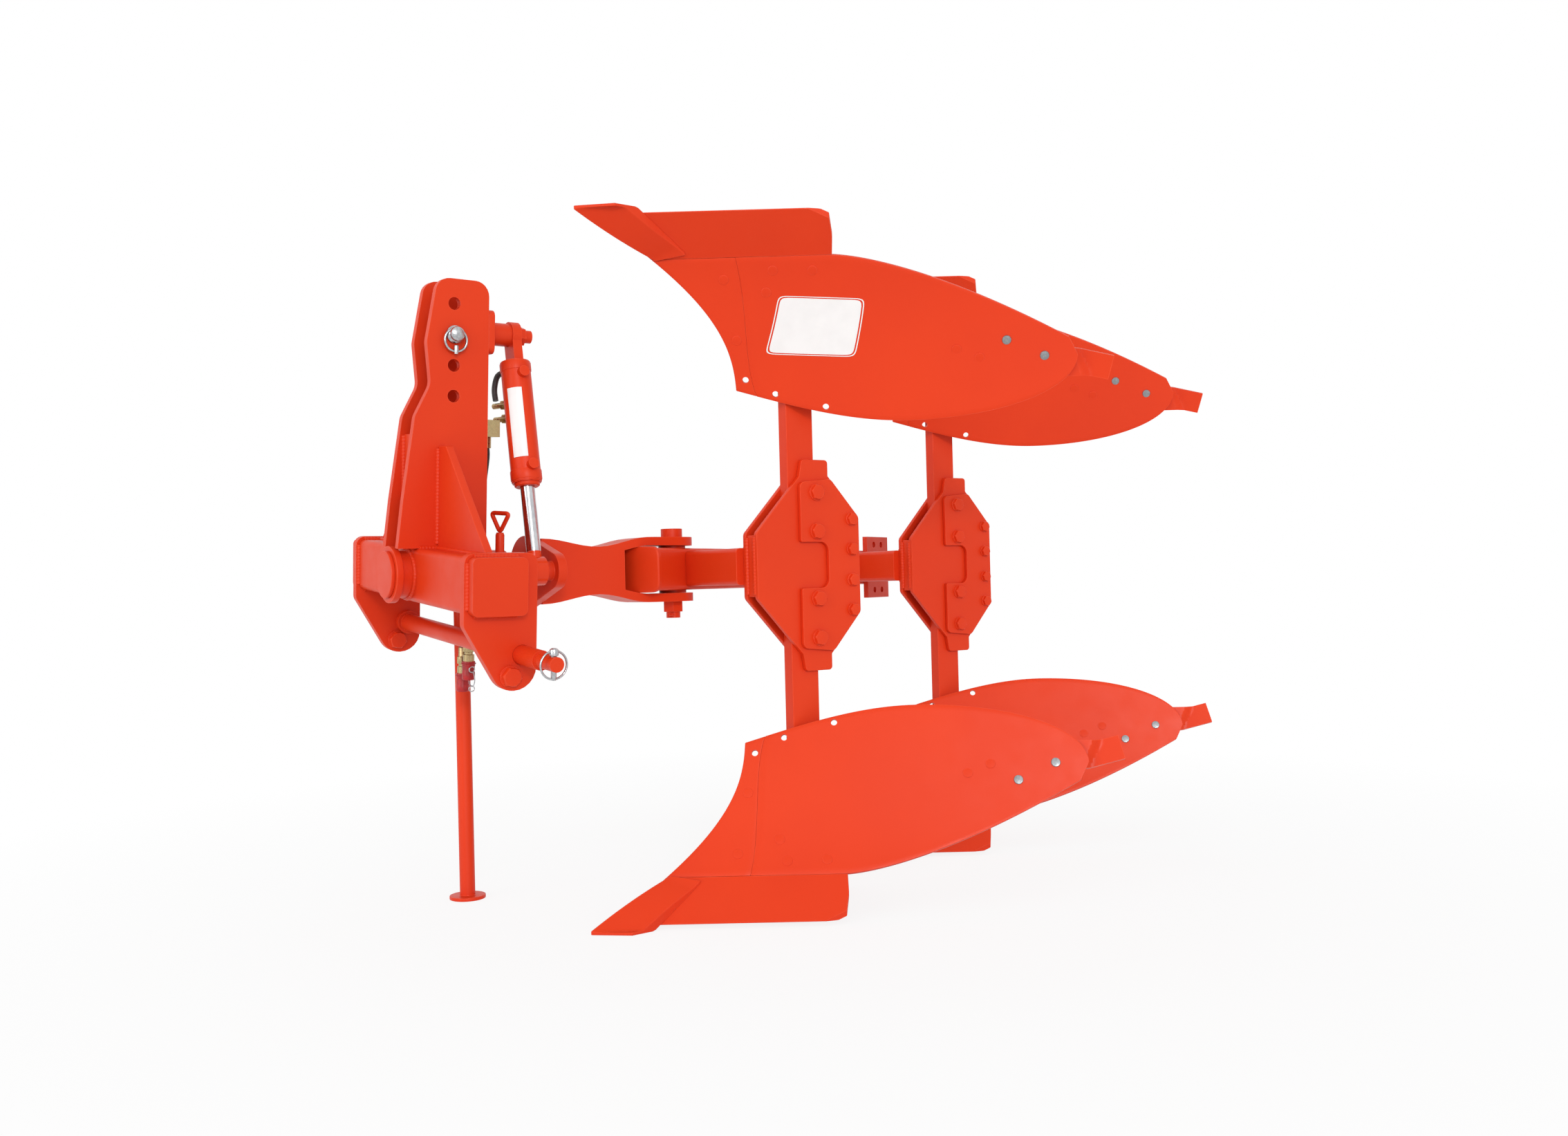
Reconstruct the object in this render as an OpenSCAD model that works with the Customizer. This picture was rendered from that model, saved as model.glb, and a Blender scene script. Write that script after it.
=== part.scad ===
// Two-furrow mounted reversible moldboard plough, parked on its lower bodies and its stand.
// Axes: +X forward to the tractor, +Y to the plough's left, +Z up, ground at z = 0.
// The upper set of bodies is the lower set mirrored in the turnover axis.

/* [Stance] */
// Height of the turnover axis above the ground
axis_h = 730; // [700:1:780]
// Sideways lean of the headstock, left side lower, in degrees
lean = 5.2; // [2:0.1:7]

/* [Hitch] */
// Distance between the shoulders of the lower hitch pins
hitch_span = 825; // [780:1:880]
// Diameter of the lower hitch pins
hitch_pin_d = 28.4; // [22:0.1:32]
// Length of each hitch pin beyond its shoulder
hitch_pin_l = 66; // [60:1:80]
// Diameter of the hitch bar
hitch_bar_d = 38; // [34:1:44]
// Depth of the hitch bar below the turnover axis
hitch_drop = 132; // [125:1:150]
// Height of the used top link hole above the hitch bar
mast_height = 620; // [600:1:660]
// Diameter of the top link holes
link_hole_d = 25.7; // [19:0.1:26]
// Distance between the top link holes
link_pitch = 62; // [50:1:70]

/* [Headstock] */
// Outside size of the square cross tube
cross_tube = 110; // [100:1:120]
// Distance between the outer faces of the end plates
plate_span = 650; // [600:1:700]
// Thickness of the end plates
plate_t = 20; // [14:1:26]
// Thickness of the mast plates
mast_t = 16; // [12:1:20]
// Clear gap between the mast plates
mast_gap = 58; // [52:1:66]
// Thickness of the sloping gussets
gusset_t = 16; // [10:1:20]
// Outside diameter of the turnover bearing tube
bearing_d = 96; // [90:1:104]

/* [Turnover] */
// Diameter of the turnover shaft
shaft_d = 70; // [60:1:76]
// Distance of the crank pin from the turnover axis
crank_r = 135; // [125:1:140]
// Height of the cylinder's upper pin above the used top link hole
cylinder_over = 12; // [0:1:30]
// Outside diameter of the cylinder barrel
barrel_d = 62; // [54:1:64]
// Diameter of the piston rod
piston_d = 30; // [25:1:36]
// Diameter of the crank pin
crank_pin_d = 25; // [20:1:30]
// Thickness of the arm's flanges
flange_t = 19; // [14:1:24]
// Distance of the beam pivot behind the hitch bar
pivot_back = 514; // [505:1:540]
// Diameter of the beam pivot pin
pivot_d = 32; // [28:1:40]

/* [Beam] */
// Outside size of the square beam
beam_size = 95; // [80:1:100]
// Length of the beam behind the middle of the rear stub
beam_tail = 177; // [150:1:240]
// Length of the beam ahead of its pivot
beam_front = 125; // [90:1:128]
// Outside size of the square stubs that carry the hangers
stub_size = 80; // [70:1:90]
// Distance between the bodies along the travel
body_pitch = 700; // [680:1:740]
// Distance between the bodies across the travel
furrow_w = 325; // [300:1:350]

/* [Legs and hangers] */
// Distance of the front legs behind the hitch bar
leg_back = 665; // [655:1:690]
// Distance of the front legs to the left of the turnover axis
leg_left = 290; // [280:1:310]
// Width of a leg along the travel
leg_w = 70; // [60:1:80]
// Thickness of a leg across the travel
leg_t = 30; // [25:1:36]
// Thickness of the hanger plates
hanger_t = 12; // [10:1:16]
// Thickness of the hanger's cover plate
cover_t = 10; // [8:1:14]

/* [Bodies] */
// Length of the moldboard along its face
board_len = 762; // [740:1:790]
// Height of the moldboard's crest above the ground
board_h = 424; // [405:1:440]
// Thickness of moldboard, shin and tail strip
board_t = 8; // [6:0.5:10]
// Rearward lean of the face at the crest's height
face_lean = 420; // [405:1:435]
// Angle of the share's edge to the travel, in degrees
share_angle = 35.5; // [34:0.1:37]
// Twist of the face from the share to the crest, in degrees
face_twist = 4; // [2:0.1:6]
// Height of the share's upper edge
share_h = 90; // [84:1:96]
// Thickness of the share, measured upright
share_t = 12; // [10:0.5:14]
// Length of the share's cutting edge
share_len = 405; // [380:1:430]
// Thickness of the bar point
point_t = 13; // [10:0.5:18]
// Thickness of the landside
landside_t = 12; // [10:1:16]
// Length of the landside
landside_len = 640; // [600:1:700]
// Height of the tail strip
tail_h = 58; // [50:1:64]

/* [Stand] */
// Diameter of the stand's leg
stand_d = 34; // [30:1:40]
// Diameter of the stand's foot
foot_d = 80; // [70:1:90]

/* [Hidden] */
$fn = 64;

paint = "#e84423";
steel = "#b9bbbd";
chrome = "#d9dcdf";
rubber = "#1c1c1e";
cap_red = "#c21f24";

// Clearances
run_fit = 0.05;      // radial, between a pin or shaft and its bore
loose_fit = 0.15;    // radial, between a fixed pin and its hole
seat_gap = 0.4;      // between pieces bolted face to face
frog_gap = 1.4;      // between the frog and the back of the boards
open_gap = 0.3;      // where the cylinder's linkage is open

// Headstock places, in the headstock's frame: x forward of the hitch bar, z above the turnover axis
tube_x = cross_tube / 2;
tube_over = 25;
tube_round = 12;
plate_y = plate_span / 2;
plate_rear = 30;
plate_margin = 7;
plate_foot = 68;
plate_round = [20, 45];
plate_slant = 20;
plate_toe = 12;
spare_at = [24, 40];
link_x = 32;
link_pin = [22, 10, 14];
link_ring = [46, 6, 12];
link_z = mast_height - hitch_drop;
cylinder_top = link_z + cylinder_over;
mast_rear = 42;
mast_front = [[67, 112, 30], [89, -18, 40], [80, -103, 40], [112, -168, 40]];
mast_foot = [[135, 95, 60], [145, 0, 0]];
tie_at = [96, 100];
tie_size = [12, 130];
mast_y = mast_gap / 2;
mast_out = mast_y + mast_t;
rear_plate_t = 14;
rear_plate_round = 14;
gusset_h = 207;
gusset_reach = 27;
gusset_top = 40;
bearing_front = 150;
bearing_back = 100;
bearing_flange = [bearing_d + 20, 14];
bearing_cap_t = 8;
collar = [hitch_bar_d + 14, 14];
linch_d = 11;
linch_in = 14;
lock_at = [-46, 106];
lock_d = 18;
lock_seat = [22, 42];
lock_low = 14;
lock_collar = [28, 6];
lock_grip_z = 76;
lock_grip_h = [14, 58];
lock_grip_w = [5, 30];
lock_grip_t = 9;
lock_grip = [[-lock_grip_w[0], 0], [lock_grip_w[0], 0], [lock_grip_w[0], lock_grip_h[0] + 2],
             [-lock_grip_w[0], lock_grip_h[0] + 2]];
block_z = [285, 320];
block_t = 27;
fitting = [22, 23];
hose_d = 16;
coupler = [24, 45];
coupler_cap = [28, 32];

// Turnover places, behind the hitch bar
crank_back = [147, 167];
crank_hub_r = 78;
crank_lug_r = 38;
crank_head = [12, 8, 2];
crank_spacer_d = 40;
cylinder_back = 113;
rod_eye = [30, 32];
barrel_lug = [28, 20, 44];
barrel_top = 60;
barrel_pin = [27, 30];
barrel_nut = [40, 14];
port = [22, 12, 6];
port_in = [30, 90];
barrel_reach = 318;
barrel_bore_l = 216;
trunnion_d = 48;
piston_in = 60;
arm_waist = 300;
arm_ear = 430;
arm_half_root = 70;
arm_half_waist = 52;
ear_gap = 6.5;
arm_half_ear = beam_size / 2 + ear_gap + flange_t;
arm_w = 100;
web_t = 12;
ear_r = 45;
near_web_end = pivot_back - 149;
far_web_end = pivot_back - 80;
boss_d = 62;
pivot_head = [17, 20];
pivot_nut = 24;
pivot_end = 38;
beam_round = 10;

// Cylinder at rest: from the crank pin up to the mast
trunnion_y = cylinder_top * sin(lean);
trunnion_z = cylinder_top * cos(lean);
cylinder_tilt = atan2(crank_r - trunnion_y, trunnion_z);
cylinder_len = norm([crank_r - trunnion_y, trunnion_z]);

// Beam and hanger places
beam_angle = atan2(furrow_w, body_pitch);
stub_lead = 105;
beam_rear = (leg_back + body_pitch - stub_lead - pivot_back) / cos(beam_angle) + beam_tail;
flange_plate = [130, 172, 14];
flange_hole = [17, 45, 64];
hanger_y = leg_t / 2 + hanger_t;
leg_gap = 30;
hanger_half = 230;
hanger_shoulder = 195;
hanger_side = 105;
hanger_nose = 70;
hanger_rear = 147;
hanger_fore = 127;
hanger_neck = [65, 5];
hanger_round = 14;
web_size = [12, 132];
web_in = 3;
cover_front = 18;
cover_rear = 140;
cover_half = 188;
cover_window = [55, 50, 20];
leg_foot = 150;

// Body places: a is behind the point, b to the left of the landside, c above the ground
leg_a = 506;
leg_b = 36;
tip_back = leg_back - leg_a;
land_left = leg_left - leg_b;
lead_power = 0.566;
lead_k = face_lean / pow(board_h, lead_power);
crest_s = 338;
keel_s = 365;
shin_top = board_h - 73;
tail_c = 270;
seam_low = 180;
seam_high = 50;
seam = 1;
board_end = 8;
edge_h = 3;
wing = [30, 22];
share_taper = 33;
point_nose = [35, 58, 6];
point_rows = [20, 27, 45, 70, 100, 130];
point_end = [172, 158];
point_taper = [6, 8];
tail_s = [650, 828];
tail_low = 288;
frog_rib = 16;
frog_seat = 24;
frog_rear = leg_a + leg_w / 2 + 5;
frog_top = 300;
frog_wide = [150, 64, 150];
frog_cut = [70, 130];
landside_h = 78;
landside_drop = 14;
landside_rows = [0, 6, 12, 24, 38, 56];
face_b = leg_b - leg_t / 2;
land_b = face_b - frog_rib;

// Stand places
stand_back = 95;
stand_right = 230;
stand_wall = 6;
stand_over = 70;
sleeve_z = [-70, 60];
bracket_z = [-18, 48];
bracket_t = 16;
foot_t = 8;

// Reach of the whole plough, which puts the origin under the middle of its box
reach_front = bearing_front + bearing_cap_t;
reach_rear = tip_back + body_pitch + face(tail_s[1], tail_low + tail_h)[0] + board_t;
reach_left = land_left + face(tail_s[1], tail_low + tail_h)[1];
reach_right = (hitch_span / 2 + hitch_pin_l) * cos(lean);
origin_x = (reach_rear - reach_front) / 2;
origin_y = (reach_right - reach_left) / 2;

// Hose routes in the headstock's frame
hose_left_route = [[-56, 2, 262], [-56, 2, 235], [-57, -28, 150], [-58, -62, 70], [-58, -68, 0],
                   [-52, -60, -70], [-40, -38, -125], [-40, -38, -155]];
hose_right_route = [[-56, -30, 262], [-56, -30, 235], [-57, -58, 150], [-58, -88, 70], [-58, -96, 0],
                    [-52, -92, -80], [-42, -74, -150], [-42, -74, -185]];

// Three-cornered loop of the lock pin's grip, or its opening when drawn in from the edge
function lock_loop(inset) =
    let (h = lock_grip_h[1] - lock_grip_h[0], w = lock_grip_w[1] - 1.7 * inset)
    rounded([[0, 1.9 * inset, inset > 0 ? 2 : 5], [w, h - inset, inset > 0 ? 3 : 7],
             [-w, h - inset, inset > 0 ? 3 : 7]]);

// Plane shapes with round corners: each point is [x, y, corner radius]
function unit(v) = v / norm(v);
function corner(p, q, r, radius, n = 6) =
    let (to_p = unit(p - q), to_r = unit(r - q), half = acos(to_p * to_r) / 2,
         centre = q + unit(to_p + to_r) * radius / sin(half),
         start = q + to_p * radius / tan(half) - centre,
         turn = (to_p.x * to_r.y - to_p.y * to_r.x > 0 ? -1 : 1) * (180 - 2 * half))
    [for (i = [0 : n]) let (w = turn * i / n)
        centre + [start.x * cos(w) - start.y * sin(w), start.x * sin(w) + start.y * cos(w)]];
function flat(p) = [p.x, p.y];
function rounded(pts) =
    let (n = len(pts))
    [for (i = [0 : n - 1])
        let (p = flat(pts[(i + n - 1) % n]), q = flat(pts[i]), r = flat(pts[(i + 1) % n]))
        each (pts[i][2] > 0 ? corner(p, q, r, pts[i][2]) : [q])];
function rounded_square(size, radius) =
    let (h = size / 2) rounded([[h, h, radius], [-h, h, radius], [-h, -h, radius], [h, -h, radius]]);
function mirrored_down(pts) =
    concat(pts, [for (i = [len(pts) - 1 : -1 : 0]) [pts[i].x, -pts[i].y, pts[i][2]]]);

// Plates and bars along the axes
module plate_along_x(x0, x1, outline)
    translate([x0, 0, 0]) rotate([90, 0, 90]) linear_extrude(x1 - x0) polygon(outline);
module plate_along_y(y0, y1, outline)
    translate([0, y1, 0]) rotate([90, 0, 0]) linear_extrude(y1 - y0) polygon(outline);
module bar_x(x0, x1, d, sides = $fn)
    translate([x0, 0, 0]) rotate([0, 90, 0]) cylinder(h = x1 - x0, d = d, $fn = sides);
module bar_y(y0, y1, d) translate([0, y1, 0]) rotate([90, 0, 0]) cylinder(h = y1 - y0, d = d);
module ring(across, wire) rotate_extrude() translate([across / 2, 0]) circle(d = wire, $fn = 24);

// Frames that the pieces are placed in
module axis_frame() translate([origin_x, origin_y, axis_h]) children();
module headstock_frame() axis_frame() rotate([-lean, 0, 0]) children();
module cylinder_frame()
    axis_frame() translate([-cylinder_back, crank_r, 0]) rotate([cylinder_tilt, 0, 0]) children();
module beam_frame() axis_frame() translate([-pivot_back, 0, 0]) rotate([0, 0, beam_angle]) children();
module leg_frame(i)
    axis_frame() translate([-leg_back - i * body_pitch, leg_left - i * furrow_w, 0]) children();
module both_sides() for (side = [0, 1]) mirror([0, side, 0]) children();
module both_levels() for (level = [0, 1]) mirror([0, 0, level]) children();
module body_pair(i)
    axis_frame() both_levels()
        translate([-tip_back - i * body_pitch, land_left - i * furrow_w, -axis_h])
            mirror([1, 0, 0]) children();

// Closed shell between two grids of points with the same rows and columns
function cell(i, j, cols, base) =
    [base + i * cols + j, base + i * cols + j + 1, base + (i + 1) * cols + j + 1, base + (i + 1) * cols + j];
function strip(a, b, c, d) = [[a, b, c], [a, c, d]];
module shell(front, back) {
    rows = len(front);
    cols = len(front[0]);
    n = rows * cols;
    last = (rows - 1) * cols;
    polyhedron(
        points = [for (grid = [front, back]) for (row = grid) each row],
        faces = [
            for (i = [0 : rows - 2]) for (j = [0 : cols - 2])
                let (f = cell(i, j, cols, 0), b = cell(i, j, cols, n))
                each concat(strip(f[0], f[1], f[2], f[3]), strip(b[0], b[3], b[2], b[1])),
            for (j = [0 : cols - 2])
                each concat(strip(j + 1, j, n + j, n + j + 1),
                            strip(last + j, last + j + 1, n + last + j + 1, n + last + j)),
            for (i = [0 : rows - 2])
                let (p = i * cols, q = (i + 1) * cols, r = p + cols - 1, s = q + cols - 1)
                each concat(strip(p, q, n + q, n + p), strip(s, r, n + r, n + s))]);
}

// Tube swept along a smooth route
function spline(p, i, t) =
    let (n = len(p) - 1, a = p[max(i - 1, 0)], b = p[i], c = p[i + 1], d = p[min(i + 2, n)])
    0.5 * (2 * b + (c - a) * t + (2 * a - 5 * b + 4 * c - d) * t * t
           + (3 * b - a - 3 * c + d) * t * t * t);
function smooth_route(p) = [for (i = [0 : len(p) - 2]) for (t = [0, 0.5]) spline(p, i, t), p[len(p) - 1]];
module tube(route, d, sides = 10) {
    path = smooth_route(route);
    n = len(path);
    function along(k) = k == 0 || k == n - 1 ? [0, 0, -1] : unit(path[k + 1] - path[k - 1]);
    rings = [for (k = [0 : n - 1])
        let (across = unit(cross(along(k), [1, 0, 0])), up = cross(along(k), across))
        [for (j = [0 : sides - 1])
            path[k] + d / 2 * (across * cos(360 * j / sides) + up * sin(360 * j / sides))]];
    polyhedron(
        points = [for (r = rings) each r],
        faces = [
            [for (j = [0 : sides - 1]) j],
            [for (j = [sides - 1 : -1 : 0]) (n - 1) * sides + j],
            for (k = [0 : n - 2]) for (j = [0 : sides - 1])
                let (m = (j + 1) % sides)
                each strip(k * sides + j, (k + 1) * sides + j, (k + 1) * sides + m, k * sides + m)]);
}

// Face of a body: s runs along the face from the landside edge, c is the height
function lead(c) = lead_k * pow(c, lead_power);
function lead_slope(c) = lead_k * lead_power * pow(c, lead_power - 1);
function face_turn(c) = share_angle + face_twist * max(0, c - share_h) / (board_h - share_h);
function face(s, c) = [lead(c) + s * cos(face_turn(c)), s * sin(face_turn(c)), c];
function face_back(c) =
    let (w = face_turn(c)) unit([sin(w), -cos(w), -lead_slope(c) * sin(w)]);
function behind(s, c, depth) = face(s, c) + depth * face_back(c);
function share_top(run) = pow(run / lead_k, 1 / lead_power);
function mix(a, b, t) = a + (b - a) * t;

// Edges of the moldboard over s
function board_low(s) =
    share_h + seam
    + (s <= keel_s ? 0 : (tail_c - share_h - seam) * pow((s - keel_s) / (board_len - keel_s), 1.7));
function board_high(s) =
    s <= crest_s ? shin_top + (board_h - shin_top) * sin(90 * s / crest_s)
                 : tail_c + (board_h - tail_c) * sqrt(1 - pow((s - crest_s) / (board_len - crest_s), 2));
function seam_s(r) = mix(seam_low, seam_high, r);
function board_point(s, r, depth) = behind(s, mix(board_low(s), board_high(s), r), depth);
function share_end(c) =
    c < wing[1] ? mix(share_len, share_len + wing[0], (c - edge_h) / (wing[1] - edge_h))
                : mix(share_len + wing[0], share_len - share_taper, (c - wing[1]) / (share_h - wing[1]));
share_rows = [edge_h, 6, 10, 16, 24, 36, 50, 68, share_h];

// Headstock

module cross_tube() color(paint) headstock_frame()
    difference() {
        translate([tube_x, 0, 0])
            plate_along_y(-plate_y - tube_over, plate_y + tube_over, rounded_square(cross_tube, tube_round));
        bar_x(-1, cross_tube + 1, bearing_d);
    }

module end_plates() color(paint) headstock_frame() {
    front = cross_tube + plate_margin;
    top = cross_tube / 2 + plate_margin;
    bottom = -hitch_drop - plate_foot;
    corner_r = plate_round[0];
    foot_r = plate_round[1];
    outline = rounded([[front, top, corner_r], [front, -cross_tube / 2 - plate_slant, corner_r],
                       [plate_rear + plate_toe, bottom, foot_r], [-plate_rear, bottom, foot_r],
                       [-plate_rear, top, corner_r]]);
    both_sides() difference() {
        plate_along_y(plate_y - plate_t, plate_y, outline);
        translate([tube_x, 0, 0]) plate_along_y(0, plate_y + 1, rounded_square(cross_tube, tube_round));
        translate([0, 0, -hitch_drop]) bar_y(0, plate_y + 1, hitch_bar_d + 2 * loose_fit);
        translate([spare_at.x, 0, -hitch_drop - spare_at.y]) bar_y(0, plate_y + 1, link_hole_d);
    }
}

module mast_plates() color(paint) headstock_frame() {
    low = cross_tube / 2;
    outline = rounded(concat(
        [[-mast_rear, low, 0], [-mast_rear, link_z + mast_front[0].y, mast_front[0][2]]],
        [for (p = mast_front) [p.x, link_z + p.y, p[2]]],
        [for (p = mast_foot) [p.x, low + p.y, p[2]]]));
    both_sides() difference() {
        plate_along_y(mast_y, mast_out, outline);
        for (k = [-2 : 1]) translate([link_x, 0, link_z + k * link_pitch]) bar_y(0, mast_out + 1, link_hole_d);
    }
}

module mast_tie() color(paint) headstock_frame()
    translate([tie_at.x, -mast_y, cross_tube / 2 + tie_at.y]) cube([tie_size.x, mast_gap, tie_size.y]);

module mast_rear_plate() color(paint) headstock_frame()
    plate_along_x(-mast_rear - rear_plate_t, -mast_rear,
                  [for (p = rounded_square(2 * mast_out, rear_plate_round)) p + [0, cylinder_top]]);

module gussets() color(paint) headstock_frame() {
    low = cross_tube / 2;
    outline = [[mast_out, low], [plate_y - gusset_reach, low], [mast_out + gusset_top, low + gusset_h],
               [mast_out, low + gusset_h]];
    both_sides() plate_along_x(tube_x - gusset_t / 2, tube_x + gusset_t / 2, outline);
}

module bearing_tube() color(paint) headstock_frame()
    difference() {
        union() {
            bar_x(-bearing_back, bearing_front, bearing_d);
            bar_x(bearing_front - bearing_flange[1], bearing_front, bearing_flange[0]);
        }
        bar_x(-bearing_back - 1, bearing_front + 1, shaft_d + 2 * run_fit);
    }

module bearing_cap() color(paint) headstock_frame()
    bar_x(bearing_front, bearing_front + bearing_cap_t, bearing_d);

module hitch_bar() color(paint) headstock_frame()
    translate([0, 0, -hitch_drop]) difference() {
        union() {
            bar_y(-hitch_span / 2, hitch_span / 2, hitch_bar_d);
            bar_y(-hitch_span / 2 - hitch_pin_l, hitch_span / 2 + hitch_pin_l, hitch_pin_d);
            both_sides() bar_y(plate_y - plate_t - collar[1], plate_y - plate_t, collar[0]);
        }
        both_sides() translate([0, hitch_span / 2 + hitch_pin_l - linch_in, -hitch_bar_d])
            cylinder(h = 2 * hitch_bar_d, d = linch_d + 2 * loose_fit);
    }

module top_link_pin() color(chrome) headstock_frame()
    translate([link_x, 0, link_z]) {
        bar_y(-mast_out - link_pin[0], mast_out + link_pin[2], link_hole_d - 2 * loose_fit);
        bar_y(mast_out + loose_fit, mast_out + link_pin[2], link_hole_d + link_pin[1]);
        translate([0, mast_out + link_ring[1], -link_ring[2]]) rotate([90, 0, 0]) ring(link_ring[0], link_ring[1]);
    }

module lock_bracket() color(paint) headstock_frame()
    difference() {
        translate([lock_at.x - lock_d, lock_at.y - lock_d, lock_seat[0]])
            cube([lock_d - lock_at.x, 2 * lock_d, lock_seat[1] - lock_seat[0]]);
        translate([lock_at.x, lock_at.y, 0]) cylinder(h = 2 * lock_seat[1], d = lock_d + 2 * loose_fit);
    }

module lock_pin() color(paint) headstock_frame()
    translate([lock_at.x, lock_at.y, 0]) {
        translate([0, 0, -lock_low]) cylinder(h = lock_low + lock_grip_z + lock_d, d = lock_d);
        translate([0, 0, lock_seat[1] + loose_fit]) cylinder(h = lock_collar[1], d = lock_collar[0]);
        translate([0, 0, lock_grip_z]) plate_along_x(-lock_grip_t / 2, lock_grip_t / 2, lock_grip);
        difference() {
            translate([0, 0, lock_grip_z + lock_grip_h[0]])
                plate_along_x(-lock_grip_t / 2, lock_grip_t / 2, lock_loop(0));
            translate([0, 0, lock_grip_z + lock_grip_h[0]])
                plate_along_x(-lock_grip_t, lock_grip_t, lock_loop(lock_grip_t));
        }
    }

module hose_block() color(steel) headstock_frame() {
    translate([-mast_rear - block_t, -mast_out, block_z[0]])
        cube([block_t, 2 * mast_out, block_z[1] - block_z[0]]);
    for (route = [hose_left_route, hose_right_route])
        translate([route[0].x, route[0].y, block_z[0] - fitting[1]]) cylinder(h = fitting[1], d = fitting[0]);
}

module hose_left() color(rubber) headstock_frame() tube(hose_left_route, hose_d);
module hose_right() color(rubber) headstock_frame() tube(hose_right_route, hose_d);

module hose_couplers() color(cap_red) headstock_frame()
    for (route = [hose_left_route, hose_right_route])
        translate(route[len(route) - 1]) mirror([0, 0, 1]) {
            cylinder(h = coupler[1], d = coupler[0]);
            translate([0, 0, coupler[1]]) cylinder(h = coupler_cap[1], d = coupler_cap[0]);
        }

// Stand

module stand_sleeve() color(paint) axis_frame() translate([-stand_back, -stand_right, 0])
    difference() {
        union() {
            translate([0, 0, sleeve_z[0]]) cylinder(h = sleeve_z[1] - sleeve_z[0], d = stand_d + 2 * stand_wall);
            translate([0, -bracket_t / 2, bracket_z[0]])
                cube([stand_back, bracket_t, bracket_z[1] - bracket_z[0]]);
        }
        translate([0, 0, sleeve_z[0] - 1])
            cylinder(h = sleeve_z[1] - sleeve_z[0] + 2, d = stand_d + 2 * run_fit);
    }

module stand_leg() color(paint) axis_frame() translate([-stand_back, -stand_right, -axis_h]) {
    cylinder(h = axis_h + stand_over, d = stand_d);
    cylinder(h = foot_t, d = foot_d);
}

// Turnover shaft, arm and cylinder

module turnover_shaft() color(steel) axis_frame() bar_x(-crank_back[0], bearing_front - 10, shaft_d);

// Plane strap around two circles on a line
function arc(centre, r, from, to, n = 24) =
    [for (i = [0 : n]) let (w = mix(from, to, i / n)) centre + r * [cos(w), sin(w)]];
module strap(r0, r1, reach, t) {
    side = 90 - asin((r0 - r1) / reach);
    plate_along_x(0, t, concat(arc([0, 0], r0, side, 360 - side), arc([reach, 0], r1, -side, side)));
}

module crank_plate() color(paint) axis_frame() {
    t = crank_back[1] - crank_back[0];
    front = -cylinder_back + rod_eye[1] / 2 + crank_head[2];
    translate([-crank_back[1], 0, 0]) strap(crank_hub_r, crank_lug_r, crank_r, t);
    translate([0, crank_r, 0]) {
        bar_x(-crank_back[0] - t / 2, front, crank_pin_d);
        bar_x(front, front + crank_head[1], crank_pin_d + crank_head[0]);
        bar_x(-crank_back[0] - 1, -cylinder_back - rod_eye[1] / 2 - crank_head[2], crank_spacer_d);
    }
}

function ease(a, b, t) = mix(a, b, (1 - cos(180 * t)) / 2);
function arm_half(u) =
    u < arm_waist ? ease(arm_half_root, arm_half_waist, (u - crank_back[1]) / (arm_waist - crank_back[1]))
    : u < arm_ear ? ease(arm_half_waist, arm_half_ear, (u - arm_waist) / (arm_ear - arm_waist))
    : arm_half_ear;
function arm_steps(end) = [for (i = [0 : 20]) mix(crank_back[1], end, i / 20)];

module turnover_arm() color(paint) axis_frame() difference() {
    ear_end = pivot_back + ear_r;
    steps = arm_steps(ear_end);
    union() {
        both_levels() intersection() {
            plate_along_y(-arm_w, arm_w,
                concat([for (u = steps) [-u, arm_half(u)]],
                       [for (k = [20 : -1 : 0]) [-steps[k], arm_half(steps[k]) - flange_t]]));
            translate([0, 0, 1]) linear_extrude(arm_w)
                polygon(rounded([[-crank_back[1], arm_w / 2, 0], [-arm_ear, arm_w / 2, 20],
                                 [-ear_end, ear_r, ear_r - 1], [-ear_end, -ear_r, ear_r - 1],
                                 [-arm_ear, -arm_w / 2, 20], [-crank_back[1], -arm_w / 2, 0]]));
        }
        for (web = [[arm_w / 2 - web_t, arm_w / 2, near_web_end], [-arm_w / 2, web_t - arm_w / 2, far_web_end]])
            let (u = arm_steps(web[2]))
            plate_along_y(web[0], web[1],
                concat([for (p = u) [-p, arm_half(p) - flange_t / 2]],
                       [for (k = [20 : -1 : 0]) [-u[k], flange_t / 2 - arm_half(u[k])]]));
    }
    translate([-pivot_back, 0, -arm_w]) cylinder(h = 2 * arm_w, d = pivot_d + 2 * loose_fit);
}

module pivot_pin() color(steel) axis_frame() translate([-pivot_back, 0, 0]) {
    translate([0, 0, -arm_half_ear - pivot_end]) cylinder(h = 2 * arm_half_ear + pivot_end, d = pivot_d);
    translate([0, 0, arm_half_ear]) cylinder(h = pivot_head[1], d = pivot_d + pivot_head[0]);
    translate([0, 0, -arm_half_ear - pivot_nut]) cylinder(h = pivot_nut, d = pivot_d + pivot_head[0], $fn = 6);
}

module cylinder_rod() color(chrome) cylinder_frame() difference() {
    union() {
        bar_x(-rod_eye[1] / 2, rod_eye[1] / 2, 2 * rod_eye[0]);
        cylinder(h = cylinder_len - barrel_reach + piston_in, d = piston_d);
    }
    bar_x(-rod_eye[1], rod_eye[1], crank_pin_d + 2 * run_fit);
}

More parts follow.
